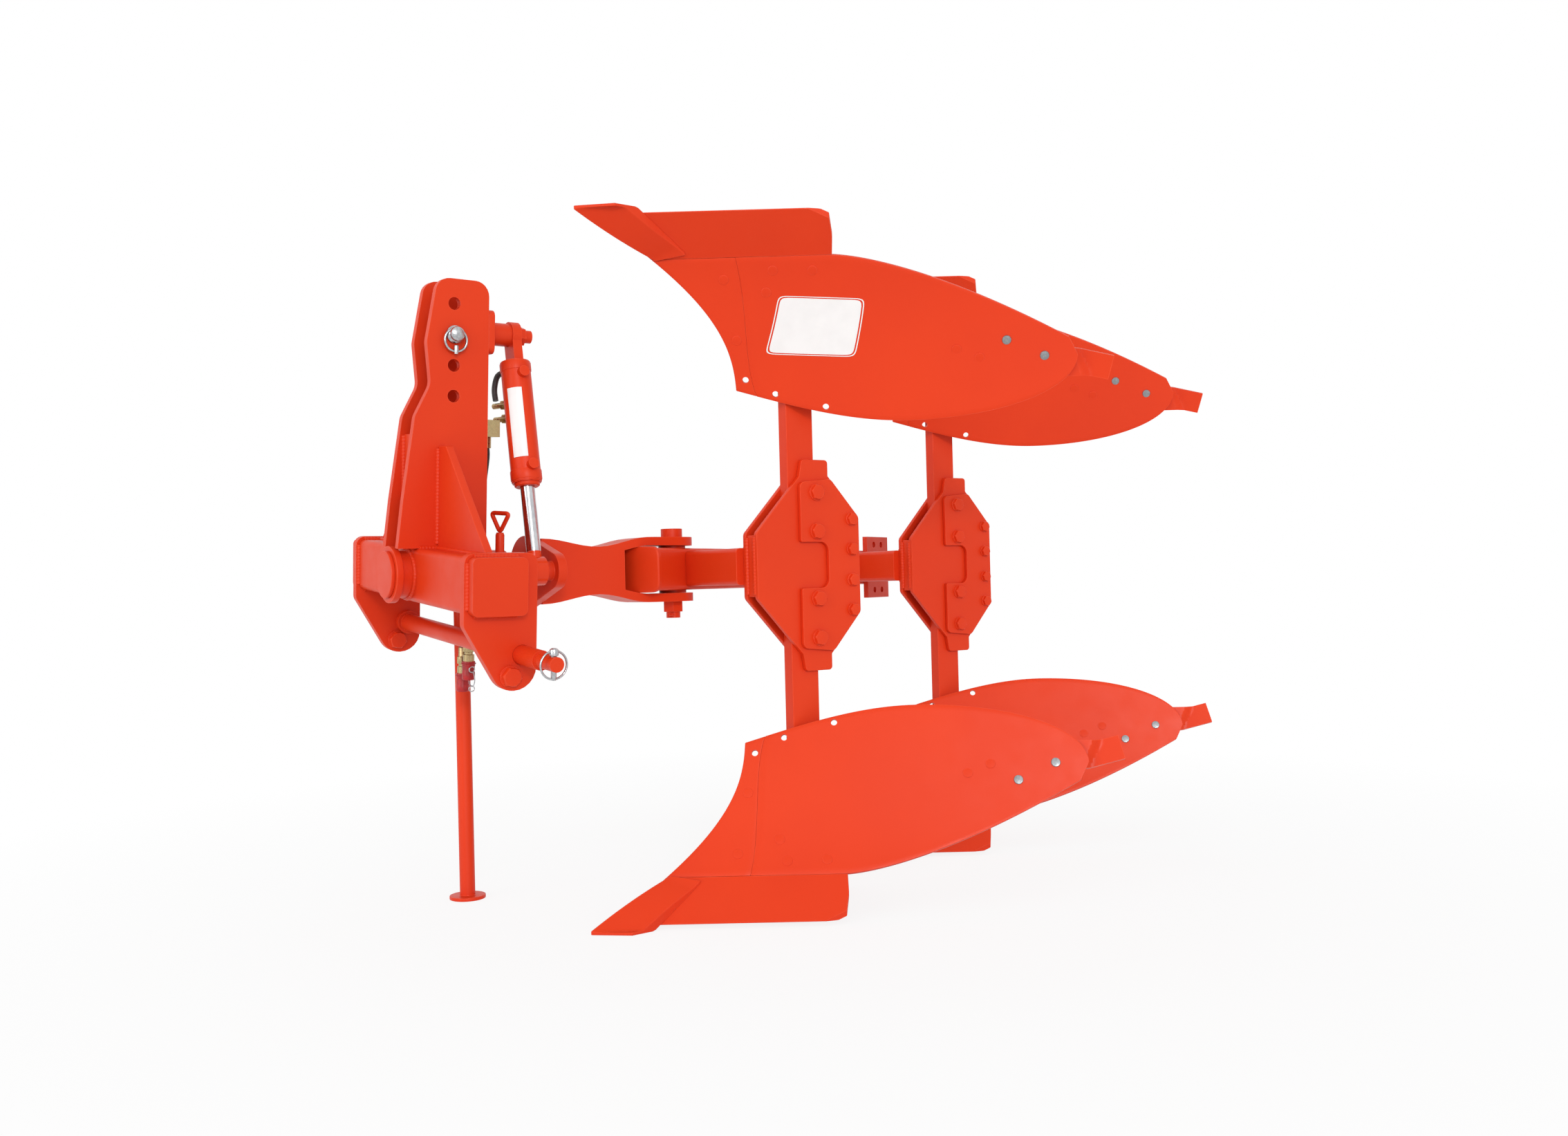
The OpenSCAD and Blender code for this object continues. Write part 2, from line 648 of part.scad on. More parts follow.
module cylinder_barrel() color(paint) cylinder_frame() translate([0, 0, cylinder_len]) {
    half = barrel_lug[1] / 2;
    difference() {
        translate([0, 0, -barrel_reach]) cylinder(h = barrel_reach - barrel_top, d = barrel_d);
        translate([0, 0, -barrel_reach - 1]) cylinder(h = barrel_bore_l + 1, d = piston_d + 2 * run_fit);
    }
    bar_x(-half, half, 2 * barrel_lug[0]);
    translate([-half, -barrel_lug[2] / 2, -barrel_top - 1]) cube([2 * half, barrel_lug[2], barrel_top + 1]);
    bar_x(0, cylinder_back - mast_rear - rear_plate_t - open_gap, trunnion_d);
    bar_x(-half - barrel_pin[1], 0, barrel_pin[0]);
    bar_x(-half - barrel_nut[1], 0, barrel_nut[0], 6);
    for (z = [port_in[0] - barrel_reach, -port_in[1]])
        translate([0, 0, z]) bar_y(piston_d / 2 + port[2], barrel_d / 2 + port[1], port[0]);
}

// Beam, stubs and hangers

module beam_solid(front, rear, size)
    plate_along_x(-rear, front, rounded_square(size, beam_round));

module main_beam() color(paint) beam_frame() difference() {
    union() {
        beam_solid(beam_front, beam_rear, beam_size);
        boss = arm_half_ear - flange_t - seat_gap;
        translate([0, 0, -boss]) cylinder(h = 2 * boss, d = boss_d);
    }
    translate([0, 0, -beam_size]) cylinder(h = 2 * beam_size, d = pivot_d + 2 * run_fit);
}

module beam_stubs() color(paint) difference() {
    for (i = [0, 1]) leg_frame(i) translate([stub_lead, 0, 0])
        plate_along_y(-leg_left - beam_size / 2, -hanger_y, rounded_square(stub_size, beam_round));
    beam_frame() {
        beam_solid(beam_front, beam_rear, beam_size);
        translate([-beam_rear - 1, -3 * beam_size, -beam_size])
            cube([beam_front + beam_rear, 3 * beam_size, 2 * beam_size]);
    }
}

module extension_flange() color(paint) beam_frame()
    translate([-beam_rear, beam_size / 2, 0]) difference() {
        translate([0, 0, -flange_plate[1] / 2]) cube([flange_plate[0], flange_plate[2], flange_plate[1]]);
        for (x = [-1, 1]) for (z = [-1, 1])
            translate([flange_plate[0] / 2 + x * flange_hole[1] / 2, 0, z * flange_hole[2]])
                bar_y(-1, flange_plate[2] + 1, flange_hole[0]);
    }

hanger_outline = rounded(mirrored_down(
    [[-hanger_rear, hanger_side, hanger_round], [-hanger_neck[0], hanger_shoulder, 0],
     [-hanger_neck[0], hanger_half, 8], [hanger_neck[1], hanger_half, 8],
     [hanger_neck[1] + 8, hanger_shoulder - 3, 0], [hanger_fore, hanger_nose, hanger_round]]));

module hanger_plates(i) color(paint) leg_frame(i) both_sides()
    plate_along_y(leg_t / 2, hanger_y, hanger_outline);
module hanger_plates_front() hanger_plates(0);
module hanger_plates_rear() hanger_plates(1);

module hanger_webs() color(paint) for (i = [0, 1]) leg_frame(i)
    translate([hanger_fore - web_in - web_size.x, -leg_t / 2, -web_size.y / 2])
        cube([web_size.x, leg_t, web_size.y]);

cover_outline = rounded(concat(
    [[cover_front, cover_window.y, 4], [cover_front, cover_half - 8, hanger_round],
     [-hanger_neck[0], cover_half, hanger_round], [-cover_rear, hanger_side, hanger_round],
     [-cover_rear, -hanger_side, hanger_round], [-hanger_neck[0], -cover_half, hanger_round],
     [cover_front, 8 - cover_half, hanger_round], [cover_front, -cover_window.y, 4]],
    [for (side = [-1, 1]) [-cover_window.x, side * cover_window.y, cover_window[2]]]));

module hanger_covers() color(paint) for (i = [0, 1]) leg_frame(i)
    plate_along_y(hanger_y, hanger_y + cover_t, cover_outline);

module legs(i) color(paint) leg_frame(i) both_levels()
    translate([-leg_w / 2, -leg_t / 2, leg_gap]) cube([leg_w, leg_t, axis_h - leg_foot - leg_gap]);
module legs_front() legs(0);
module legs_rear() legs(1);

// Bodies

// Place along the face of a grid column, closer together towards the tail
function board_s(t, r) = mix(seam_s(r) + seam, board_len - board_end, 1 - pow(1 - t, 1.4));

module moldboards(i) color(paint) body_pair(i) {
    rows = 12;
    cols = 22;
    grids = [for (depth = [0, board_t]) [for (k = [0 : rows]) let (r = k / rows)
        [for (j = [0 : cols]) board_point(board_s(j / cols, r), r, depth)]]];
    shell(grids[0], grids[1]);
}

module shins(i) color(paint) body_pair(i) {
    rows = 12;
    grids = [for (depth = [0, board_t]) [for (k = [0 : rows]) let (r = k / rows)
        [for (j = [0 : 4]) board_point(mix(0, seam_s(r) - seam, j / 4), r, depth)]]];
    shell(grids[0], grids[1]);
}

module shares(i) color(paint) body_pair(i) {
    top = [for (c = share_rows) [for (j = [0 : 8]) face(share_end(c) * j / 8, c)]];
    shell(top, [for (row = top) [for (p = row) [p.x, p.y, max(0, p.z - share_t)]]]);
}

// Bar point: rows across the bar, each from the landside edge to the left edge
point_runs = concat([[0, -point_nose[0]]], [for (r = point_rows) [r, r]], [point_end]);
point_last = len(point_runs) - 1;
function point_under(run) = run < lead(edge_h) + 1 ? 0 : share_top(run) + seat_gap;
function point_row(k, lift) = [for (q = [0, 0.5, 1])
    let (run = mix(point_runs[k][0], point_runs[k][1], q),
         b = mix(point_taper[0] * k / point_last, point_nose[1] - point_taper[1] * k / point_last, q))
    [run + b / tan(share_angle), b, point_under(run) + lift * (k == 0 ? point_nose[2] : point_t)]];

module points(i) color(paint) body_pair(i)
    shell([for (k = [0 : point_last]) point_row(k, 1)], [for (k = [0 : point_last]) point_row(k, 0)]);

// Front of the frog and of the landside, just behind the share, shin and moldboard
function frog_front(b, z) =
    let (w = face_turn(z))
    b / tan(w) + (z <= share_h - share_t
        ? lead(z + share_t) + 2 * seat_gap
        : lead(z) + (board_t + frog_gap) * sqrt(1 + pow(lead_slope(z) * sin(w), 2)) / sin(w));

// Level section of the frog: a seat behind the face and a rib back to the leg
function frog_reach(z) = mix(frog_wide[0], frog_wide[1], max(0, z - frog_wide[2]) / (frog_top - frog_wide[2]));
function frog_heel(z) = mix(frog_rear - frog_cut[0], frog_rear, min(1, z / frog_cut[1]));
function frog_section(z) = let (near = frog_reach(z), heel = frog_heel(z)) [
    [frog_front(land_b, z), land_b, z], [frog_front(near, z), near, z],
    [frog_front(near, z) + frog_seat, near, z], [frog_front(face_b, z) + frog_seat, face_b, z],
    [heel, face_b, z], [heel, land_b, z]];

module frogs(i) color(paint) body_pair(i) {
    levels = concat([for (c = share_rows) if (c > 2 * share_t - 1) c - share_t],
                    [for (k = [0 : 7]) mix(share_h + 5, frog_top, k / 7)]);
    n = len(levels);
    top = 6 * (n - 1);
    polyhedron(
        points = [for (z = levels) each frog_section(z)],
        faces = concat(
            [[0, 1, 2], [0, 2, 3], [0, 3, 4], [0, 4, 5]],
            [for (f = [[2, 1, 0], [3, 2, 0], [4, 3, 0], [5, 4, 0]]) [for (v = f) top + v]],
            [for (k = [0 : n - 2]) for (j = [0 : 5])
                let (m = (j + 1) % 6)
                each strip(6 * k + j, 6 * (k + 1) + j, 6 * (k + 1) + m, 6 * k + m)]));
}

module landsides(i) color(paint) body_pair(i) {
    nose = [for (z = concat(landside_rows, [landside_h])) [frog_front(land_b, z), z]];
    plate_along_y(land_b - landside_t, land_b,
        concat(nose, [[landside_len, landside_h - landside_drop], [landside_len, 0]]));
}

function tail_side(depth) = [for (k = [0 : 2]) [for (j = [0 : 8])
    behind(mix(tail_s[0], tail_s[1], j / 8), tail_low + tail_h * k / 2, depth)]];

module tails(i) color(paint) body_pair(i)
    shell(tail_side(board_t + seat_gap), tail_side(2 * board_t + seat_gap));

module front_moldboards() moldboards(0);
module front_shins() shins(0);
module front_shares() shares(0);
module front_points() points(0);
module front_frogs() frogs(0);
module front_landsides() landsides(0);
module front_tails() tails(0);
module rear_moldboards() moldboards(1);
module rear_shins() shins(1);
module rear_shares() shares(1);
module rear_points() points(1);
module rear_frogs() frogs(1);
module rear_landsides() landsides(1);
module rear_tails() tails(1);

cross_tube();
end_plates();
mast_plates();
mast_tie();
mast_rear_plate();
gussets();
bearing_tube();
bearing_cap();
hitch_bar();
top_link_pin();
lock_bracket();
lock_pin();
stand_sleeve();
hose_block();
hose_left();
hose_right();
hose_couplers();
stand_leg();
turnover_shaft();
crank_plate();
turnover_arm();
pivot_pin();
cylinder_rod();
cylinder_barrel();
main_beam();
beam_stubs();
extension_flange();
hanger_plates_front();
hanger_plates_rear();
hanger_webs();
hanger_covers();
legs_front();
legs_rear();
front_moldboards();
front_shins();
front_shares();
front_points();
front_frogs();
front_landsides();
front_tails();
rear_moldboards();
rear_shins();
rear_shares();
rear_points();
rear_frogs();
rear_landsides();
rear_tails();
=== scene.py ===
import math

import bmesh
import bpy
import numpy as np
from mathutils import Matrix, Vector


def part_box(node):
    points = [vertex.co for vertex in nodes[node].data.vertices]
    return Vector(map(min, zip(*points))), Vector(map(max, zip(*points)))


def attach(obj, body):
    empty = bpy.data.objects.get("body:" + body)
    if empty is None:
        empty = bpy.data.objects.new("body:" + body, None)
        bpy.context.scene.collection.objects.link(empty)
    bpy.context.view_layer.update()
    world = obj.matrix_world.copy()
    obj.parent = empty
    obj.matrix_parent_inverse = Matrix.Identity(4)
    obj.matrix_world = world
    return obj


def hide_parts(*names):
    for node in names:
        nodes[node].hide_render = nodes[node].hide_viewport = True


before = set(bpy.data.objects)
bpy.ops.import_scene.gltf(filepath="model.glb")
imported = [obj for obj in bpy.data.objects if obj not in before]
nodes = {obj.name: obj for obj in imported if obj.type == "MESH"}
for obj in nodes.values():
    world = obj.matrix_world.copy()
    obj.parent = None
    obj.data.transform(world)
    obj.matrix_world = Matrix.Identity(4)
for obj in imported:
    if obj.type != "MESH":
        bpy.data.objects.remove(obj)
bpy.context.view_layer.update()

# Viewing place: the camera stands at the front left of the plough, a little below the beam,
# with its picture turned slightly clockwise, and looks level across the headstock at the bodies.
EYE = Vector((1.9473, 2.6039, 0.6959))
LOOK = Vector((-0.5700, -0.8216, 0.0097)).normalized()
TURN = 0.0254
LENS_MM = 31.68
SENSOR_MM = 36.0
camera_data = bpy.data.cameras.new("front_left_view")
camera_data.sensor_width = SENSOR_MM
camera_data.lens = LENS_MM
camera = bpy.data.objects.new("front_left_view", camera_data)
bpy.context.scene.collection.objects.link(camera)
level = LOOK.cross(Vector((0.0, 0.0, 1.0))).normalized()
upright = level.cross(LOOK)
top_of_picture = upright * math.cos(TURN) + level * math.sin(TURN)
right_of_picture = LOOK.cross(top_of_picture)
stance = Matrix((right_of_picture, top_of_picture, -LOOK)).transposed().to_4x4()
stance.translation = EYE
camera.matrix_world = stance
bpy.context.scene.camera = camera
bpy.context.scene.view_settings.view_transform = "Standard"

# Studio: a pale floor that keeps the plough's soft shadow and fades to white away from it, in a white
# surround that the plated steel mirrors. A broad key lamp shines from the left, a broader fill lamp
# from the front, and a small lamp puts glints on the enamel.
SURROUND = 0.66
FLOOR_HALF = 30.0
FLOOR_GREY = (0.90, 0.90, 0.90, 1.0)
FLOOR_FADE = (0.9, 2.6)
FLOOR_WHITE = (0.86, 1.0)
LAMPS = {
    "key_lamp": {"towards": (-0.30, -0.92, -0.20), "energy": 0.70, "spread": 28.0},
    "fill_lamp": {"towards": (-0.96, -0.12, -0.20), "energy": 0.90, "spread": 45.0},
    "glint_lamp": {"towards": (-0.36, -0.88, -0.30), "energy": 0.50, "spread": 7.0},
}


def reckon(tree, operation, first, second):
    """A value worked out from two others, such as their product or the larger of them."""
    node = tree.nodes.new("ShaderNodeMath")
    node.operation = operation
    tree.links.new(first, node.inputs[0])
    tree.links.new(second, node.inputs[1])
    return node.outputs[0]


def remap(tree, value, low, high, start=0.35, end=0.65):
    """Takes value from start to end onto low to high, and holds it beyond them."""
    node = tree.nodes.new("ShaderNodeMapRange")
    node.inputs["From Min"].default_value = start
    node.inputs["From Max"].default_value = end
    node.inputs["To Min"].default_value = low
    node.inputs["To Max"].default_value = high
    tree.links.new(value, node.inputs["Value"])
    return node.outputs["Result"]


def seen_directly(tree):
    """1 for rays from the camera, from mirrors and through glass, 0 for the rays that light the plough."""
    path = tree.nodes.new("ShaderNodeLightPath").outputs
    either = reckon(tree, "MAXIMUM", path["Is Camera Ray"], path["Is Glossy Ray"])
    return reckon(tree, "MAXIMUM", either, path["Is Transmission Ray"])


world = bpy.data.worlds.new("white_surround")
bpy.context.scene.world = world
world.use_nodes = True
sky = world.node_tree
backing = sky.nodes["Background"]
backing.inputs["Color"].default_value = (1.0, 1.0, 1.0, 1.0)
sky.links.new(remap(sky, seen_directly(sky), SURROUND, 1.0, start=0.0, end=1.0), backing.inputs["Strength"])

floor_mesh = bpy.data.meshes.new("studio_floor")
floor_corners = [(-FLOOR_HALF, -FLOOR_HALF, 0), (FLOOR_HALF, -FLOOR_HALF, 0),
                 (FLOOR_HALF, FLOOR_HALF, 0), (-FLOOR_HALF, FLOOR_HALF, 0)]
floor_mesh.from_pydata(floor_corners, [], [(0, 1, 2, 3)])
floor = bpy.data.objects.new("studio_floor", floor_mesh)
bpy.context.scene.collection.objects.link(floor)
pale = bpy.data.materials.new("pale_floor")
pale.use_nodes = True
floor_tree = pale.node_tree
floor_skin = floor_tree.nodes["Principled BSDF"]
floor_skin.inputs["Base Color"].default_value = FLOOR_GREY
floor_skin.inputs["Roughness"].default_value = 0.9
floor_skin.inputs["Specular IOR Level"].default_value = 0.1
floor_glow = floor_tree.nodes.new("ShaderNodeEmission")
floor_glow.inputs["Strength"].default_value = 1.0
floor_spot = floor_tree.nodes.new("ShaderNodeTexCoord").outputs["Object"]
floor_reach = floor_tree.nodes.new("ShaderNodeVectorMath")
floor_reach.operation = "LENGTH"
floor_tree.links.new(floor_spot, floor_reach.inputs[0])
floor_fade = remap(floor_tree, floor_reach.outputs["Value"], *FLOOR_WHITE, *FLOOR_FADE)
floor_mix = floor_tree.nodes.new("ShaderNodeMixShader")
floor_seen = reckon(floor_tree, "MULTIPLY", seen_directly(floor_tree), floor_fade)
floor_tree.links.new(floor_seen, floor_mix.inputs["Fac"])
floor_tree.links.new(floor_skin.outputs["BSDF"], floor_mix.inputs[1])
floor_tree.links.new(floor_glow.outputs["Emission"], floor_mix.inputs[2])
floor_tree.links.new(floor_mix.outputs["Shader"], floor_tree.nodes["Material Output"].inputs["Surface"])
floor_mesh.materials.append(pale)


def soft_lamp(name, towards, energy, spread):
    """A far lamp whose light travels along towards, from a disc of sky spread degrees wide."""
    data = bpy.data.lights.new(name, "SUN")
    data.energy = energy
    data.angle = math.radians(spread)
    lamp = bpy.data.objects.new(name, data)
    bpy.context.scene.collection.objects.link(lamp)
    lamp.rotation_mode = "QUATERNION"
    lamp.rotation_quaternion = Vector(towards).to_track_quat("-Z", "Y")


for lamp_name, light in LAMPS.items():
    soft_lamp(lamp_name, **light)

# Welded headstock: square tube, flame-cut end plates, mast plates and gussets of mild steel, all in one
# coat of orange enamel, sprayed thick so that it has a fine orange-peel skin and soft edges.
ENAMEL = (0.75, 0.046, 0.006)
# The deeper tone serves both the random drifts in the enamel and the painted shade where faces meet.
ENAMEL_DRIFT_AND_SHADE = (0.60, 0.026, 0.006)
# The paler edge tone is partly rubbed paint and partly a painted highlight along the edges.
ENAMEL_EDGE_LIGHT_AND_WEAR = (0.90, 0.120, 0.050)
SHADE_REACH = 0.22
EDGE_LIGHT_REACH = 0.0025


def plain_noise(tree, coords, scale, detail):
    """Fractal noise on the piece's own metres, scale repeats to the metre."""
    noise = tree.nodes.new("ShaderNodeTexNoise")
    noise.inputs["Scale"].default_value = scale
    noise.inputs["Detail"].default_value = detail
    tree.links.new(coords, noise.inputs["Vector"])
    return noise.outputs["Fac"]


def blend_colour(tree, share, first, second):
    """first where share is 0 and second where it is 1; either may be a colour or a socket."""
    mix = tree.nodes.new("ShaderNodeMix")
    mix.data_type = "RGBA"
    tree.links.new(share, mix.inputs["Factor"])
    for socket, colour in ((mix.inputs["A"], first), (mix.inputs["B"], second)):
        if isinstance(colour, tuple):
            socket.default_value = (*colour, 1.0)
        else:
            tree.links.new(colour, socket)
    return mix.outputs["Result"]


def new_finish(name):
    """An empty surface: its material, node tree, shader and the piece's own coordinates."""
    material = bpy.data.materials.new(name)
    material.use_nodes = True
    tree = material.node_tree
    coords = tree.nodes.new("ShaderNodeTexCoord").outputs["Object"]
    return material, tree, tree.nodes["Principled BSDF"], coords


def bump(tree, height, shader, distance, strength):
    """Raises the shader's surface by height times distance."""
    node = tree.nodes.new("ShaderNodeBump")
    node.inputs["Strength"].default_value = strength
    node.inputs["Distance"].default_value = distance
    tree.links.new(height, node.inputs["Height"])
    tree.links.new(node.outputs["Normal"], shader.inputs["Normal"])


def enamel(name, base, drift_and_shade_tone, highlight_and_wear_tone):
    """Enamel of a base colour with broad drifts of a deeper tone, painted shade in that tone where faces
    meet, and a paler edge colour that is partly rubbed wear and partly a painted highlight."""
    material, tree, shader, coords = new_finish(name)
    drift = remap(tree, plain_noise(tree, coords, scale=3.5, detail=3.0), low=0.0, high=0.22)
    colour = blend_colour(tree, drift, base, drift_and_shade_tone)
    # Painted shade: ambient occlusion mixes the enamel toward the deeper tone in creases and between close
    # parts.
    occlusion = tree.nodes.new("ShaderNodeAmbientOcclusion")
    occlusion.inputs["Distance"].default_value = SHADE_REACH
    occlusion.samples = 4
    shade = remap(tree, occlusion.outputs["AO"], low=0.65, high=0.0, start=0.25, end=0.95)
    colour = blend_colour(tree, shade, colour, drift_and_shade_tone)
    # Painted highlight and wear: along rounded edges, in noisy patches, the enamel turns to the paler edge
    # tone.
    rounding = tree.nodes.new("ShaderNodeBevel")
    rounding.samples = 4
    rounding.inputs["Radius"].default_value = EDGE_LIGHT_REACH
    geometry = tree.nodes.new("ShaderNodeNewGeometry")
    facing = tree.nodes.new("ShaderNodeVectorMath")
    facing.operation = "DOT_PRODUCT"
    tree.links.new(rounding.outputs["Normal"], facing.inputs[0])
    tree.links.new(geometry.outputs["Normal"], facing.inputs[1])
    edge = remap(tree, facing.outputs["Value"], low=1.0, high=0.0, start=0.86, end=0.985)
    patchy = remap(tree, plain_noise(tree, coords, scale=26.0, detail=4.0), low=0.15, high=0.75)
    edge_light_and_wear = reckon(tree, "MULTIPLY", edge, patchy)
    tree.links.new(blend_colour(tree, edge_light_and_wear, colour, highlight_and_wear_tone), shader.inputs["Base Color"])
    gloss = remap(tree, plain_noise(tree, coords, scale=22.0, detail=3.0), low=0.38, high=0.46)
    tree.links.new(gloss, shader.inputs["Roughness"])
    shader.inputs["Specular IOR Level"].default_value = 0.22
    shader.inputs["Coat Weight"].default_value = 0.03
    shader.inputs["Coat Roughness"].default_value = 0.22
    peel = plain_noise(tree, coords, scale=420.0, detail=2.0)
    bump(tree, peel, shader, distance=0.00025, strength=0.35)
    return material


orange_enamel = enamel("orange_enamel", ENAMEL, ENAMEL_DRIFT_AND_SHADE, ENAMEL_EDGE_LIGHT_AND_WEAR)
SHARP_DEG = 32.0
FLAT_DEG = 0.3
CORNER_DEG = 35.0
TOUCHING = 1e-6


def skin_group(name, with_merge):
    """Joins a piece's loose triangles, or shades it smooth but for edges that turn by more than SHARP_DEG."""
    group = bpy.data.node_groups.new(name, "GeometryNodeTree")
    group.interface.new_socket("Geometry", in_out="INPUT", socket_type="NodeSocketGeometry")
    group.interface.new_socket("Geometry", in_out="OUTPUT", socket_type="NodeSocketGeometry")
    given = group.nodes.new("NodeGroupInput").outputs[0]
    made = group.nodes.new("NodeGroupOutput").inputs[0]
    if with_merge:
        plain = group.nodes.new("GeometryNodeRemoveAttribute")
        plain.inputs["Name"].default_value = "custom_normal"
        merge = group.nodes.new("GeometryNodeMergeByDistance")
        merge.inputs["Distance"].default_value = TOUCHING
        group.links.new(given, plain.inputs["Geometry"])
        group.links.new(plain.outputs[0], merge.inputs["Geometry"])
        group.links.new(merge.outputs[0], made)
        return group
    faces = group.nodes.new("GeometryNodeSetShadeSmooth")
    faces.domain = "FACE"
    faces.inputs["Shade Smooth"].default_value = True
    edges = group.nodes.new("GeometryNodeSetShadeSmooth")
    edges.domain = "EDGE"
    edges.inputs["Shade Smooth"].default_value = False
    angle = group.nodes.new("GeometryNodeInputMeshEdgeAngle")
    sharp = group.nodes.new("FunctionNodeCompare")
    sharp.operation = "GREATER_THAN"
    sharp.inputs["B"].default_value = math.radians(SHARP_DEG)
    group.links.new(angle.outputs["Unsigned Angle"], sharp.inputs["A"])
    group.links.new(given, faces.inputs["Geometry"])
    group.links.new(faces.outputs[0], edges.inputs["Geometry"])
    group.links.new(sharp.outputs["Result"], edges.inputs["Selection"])
    group.links.new(edges.outputs[0], made)
    return group


joined_skin = skin_group("joined_skin", True)
smooth_skin = skin_group("smooth_skin", False)


def round_edges(piece, name, width, turn):
    """Rounds the edges of a piece that turn by more than turn degrees."""
    rounding = piece.modifiers.new(name, "BEVEL")
    rounding.width = width
    rounding.segments = 2
    rounding.limit_method = "ANGLE"
    rounding.angle_limit = math.radians(turn)


def coat(names, material, edge=0.0018):
    """Gives frame nodes a finish and rounds their corners by edge metres."""
    for name in names:
        node = nodes[name]
        node.data.materials.clear()
        node.data.materials.append(material)
        node.modifiers.new("joined", "NODES").node_group = joined_skin
        flat = node.modifiers.new("whole_faces", "DECIMATE")
        flat.decimate_type = "DISSOLVE"
        flat.angle_limit = math.radians(FLAT_DEG)
        round_edges(node, "soft_edges", edge, CORNER_DEG)
        node.modifiers.new("smooth", "NODES").node_group = smooth_skin
        level_faces = node.modifiers.new("level_faces", "WEIGHTED_NORMAL")
        level_faces.keep_sharp = True


coat(["cross_tube", "end_plates", "mast_plates", "mast_tie", "mast_rear_plate", "gussets",
      "bearing_tube", "bearing_cap", "lock_bracket", "stand_sleeve"], orange_enamel)

# Weld beads: the fillets that the welder ran along the foot of each gusset and mast plate and round the
# end plates, sprayed over with the same enamel; the ripples are the steps of the weld pool.
LEAN = math.radians(5.2)
SHAFT_FRONT = 0.140
shaft_low, shaft_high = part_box("turnover_shaft")
AXIS = np.array([shaft_high.x - SHAFT_FRONT,
                 (shaft_low.y + shaft_high.y) / 2,
                 (shaft_low.z + shaft_high.z) / 2])
BEAD = 0.0055
BEAD_SIDES = 10
BEAD_SHARP = 60.0
RIPPLE = 0.007
RIPPLE_DEPTH = 0.14
RIPPLE_STEPS = 5
SLIVER = 1e-7


def on_headstock(points):
    """Places points of the leaning headstock (forward of the hitch bar, left, above the axis) on the
    plough."""
    p = np.asarray(points, float)
    leaning = np.stack([p[..., 0], p[..., 1] * math.cos(LEAN) + p[..., 2] * math.sin(LEAN),
                        p[..., 2] * math.cos(LEAN) - p[..., 1] * math.sin(LEAN)], -1)
    return leaning + AXIS


def on_plough(points):
    """Places points given from the turnover axis at the hitch bar on the plough."""
    return np.asarray(points, float) + AXIS


def grid_quads(rows, cols, closed):
    """The four-cornered faces of a grid of points, its columns joined round where closed."""
    i = np.arange(rows - 1)[:, None] * cols
    j = np.arange(cols if closed else cols - 1)[None, :]
    k = (j + 1) % cols
    return np.stack([i + j, i + k, i + cols + k, i + cols + j], -1).reshape(-1, 4)


def unit(vectors):
    """Vectors shortened to length 1."""
    return vectors / np.linalg.norm(vectors, axis=-1, keepdims=True)


def carried(path, profile, up, swell):
    """A closed profile carried along a path: path point plus profile x sideways plus profile y towards up,
    each row scaled by its swell."""
    along = unit(np.gradient(path, axis=0))
    side = unit(np.cross(np.asarray(up, float), along))
    above = np.cross(along, side)
    spread = swell[:, None, None]
    points = (path[:, None, :] + spread * profile[None, :, :1] * side[:, None, :]
              + spread * profile[None, :, 1:] * above[:, None, :])
    return points.reshape(-1, 3), grid_quads(len(path), len(profile), True)


def circle(radius, count):
    """Points round a circle, anticlockwise."""
    turn = np.linspace(0.0, 2.0 * np.pi, count, endpoint=False)
    return radius * np.stack([np.cos(turn), np.sin(turn)], -1)


def rippled(distance):
    """A bead's swell at a distance along it: full at the middle of each step of the weld pool, and less by
    RIPPLE_DEPTH between the steps, as the size of a sine goes."""
    return 1.0 - RIPPLE_DEPTH + RIPPLE_DEPTH * np.abs(np.sin(np.pi * distance / RIPPLE))


def bead_along(start, end):
    """A weld bead from start to end: a round profile whose radius ripples, drawn to a point at each end."""
    length = np.linalg.norm(end - start)
    t = np.linspace(0.0, 1.0, max(12, int(length / RIPPLE * RIPPLE_STEPS)))
    swell = rippled(t * length)
    swell[[0, -1]] = 0.0
    along = (end - start) / length
    up = [1.0, 0.0, 0.0] if abs(along[0]) < 0.8 else [0.0, 0.0, 1.0]
    return carried(start + (end - start) * t[:, None], circle(BEAD, BEAD_SIDES), up, swell)


def make_object(name, parts, material, sharp):
    """One mesh object of several surfaces: doubles merged, normals outwards, smooth but for sharp edges."""
    offset = 0
    points, faces = [], []
    for part_points, part_faces in parts:
        points.append(part_points)
        faces += (np.asarray(part_faces) + offset).tolist()
        offset += len(part_points)
    mesh = bpy.data.meshes.new(name)
    mesh.from_pydata(np.concatenate(points).tolist(), [], faces)
    skin = bmesh.new()
    skin.from_mesh(mesh)
    bmesh.ops.remove_doubles(skin, verts=skin.verts, dist=TOUCHING)
    bmesh.ops.dissolve_degenerate(skin, edges=skin.edges, dist=SLIVER)
    bmesh.ops.recalc_face_normals(skin, faces=skin.faces)
    skin.to_mesh(mesh)
    skin.free()
    mesh.shade_smooth()
    mesh.set_sharp_from_angle(angle=math.radians(sharp))
    mesh.materials.append(material)
    piece = bpy.data.objects.new(name, mesh)
    bpy.context.scene.collection.objects.link(piece)
    return piece


def make_piece(name, parts, material, body, sharp=SHARP_DEG):
    """A new object of several surfaces that moves with a body of the frame."""
    piece = make_object(name, parts, material, sharp)
    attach(piece, body)
    return piece


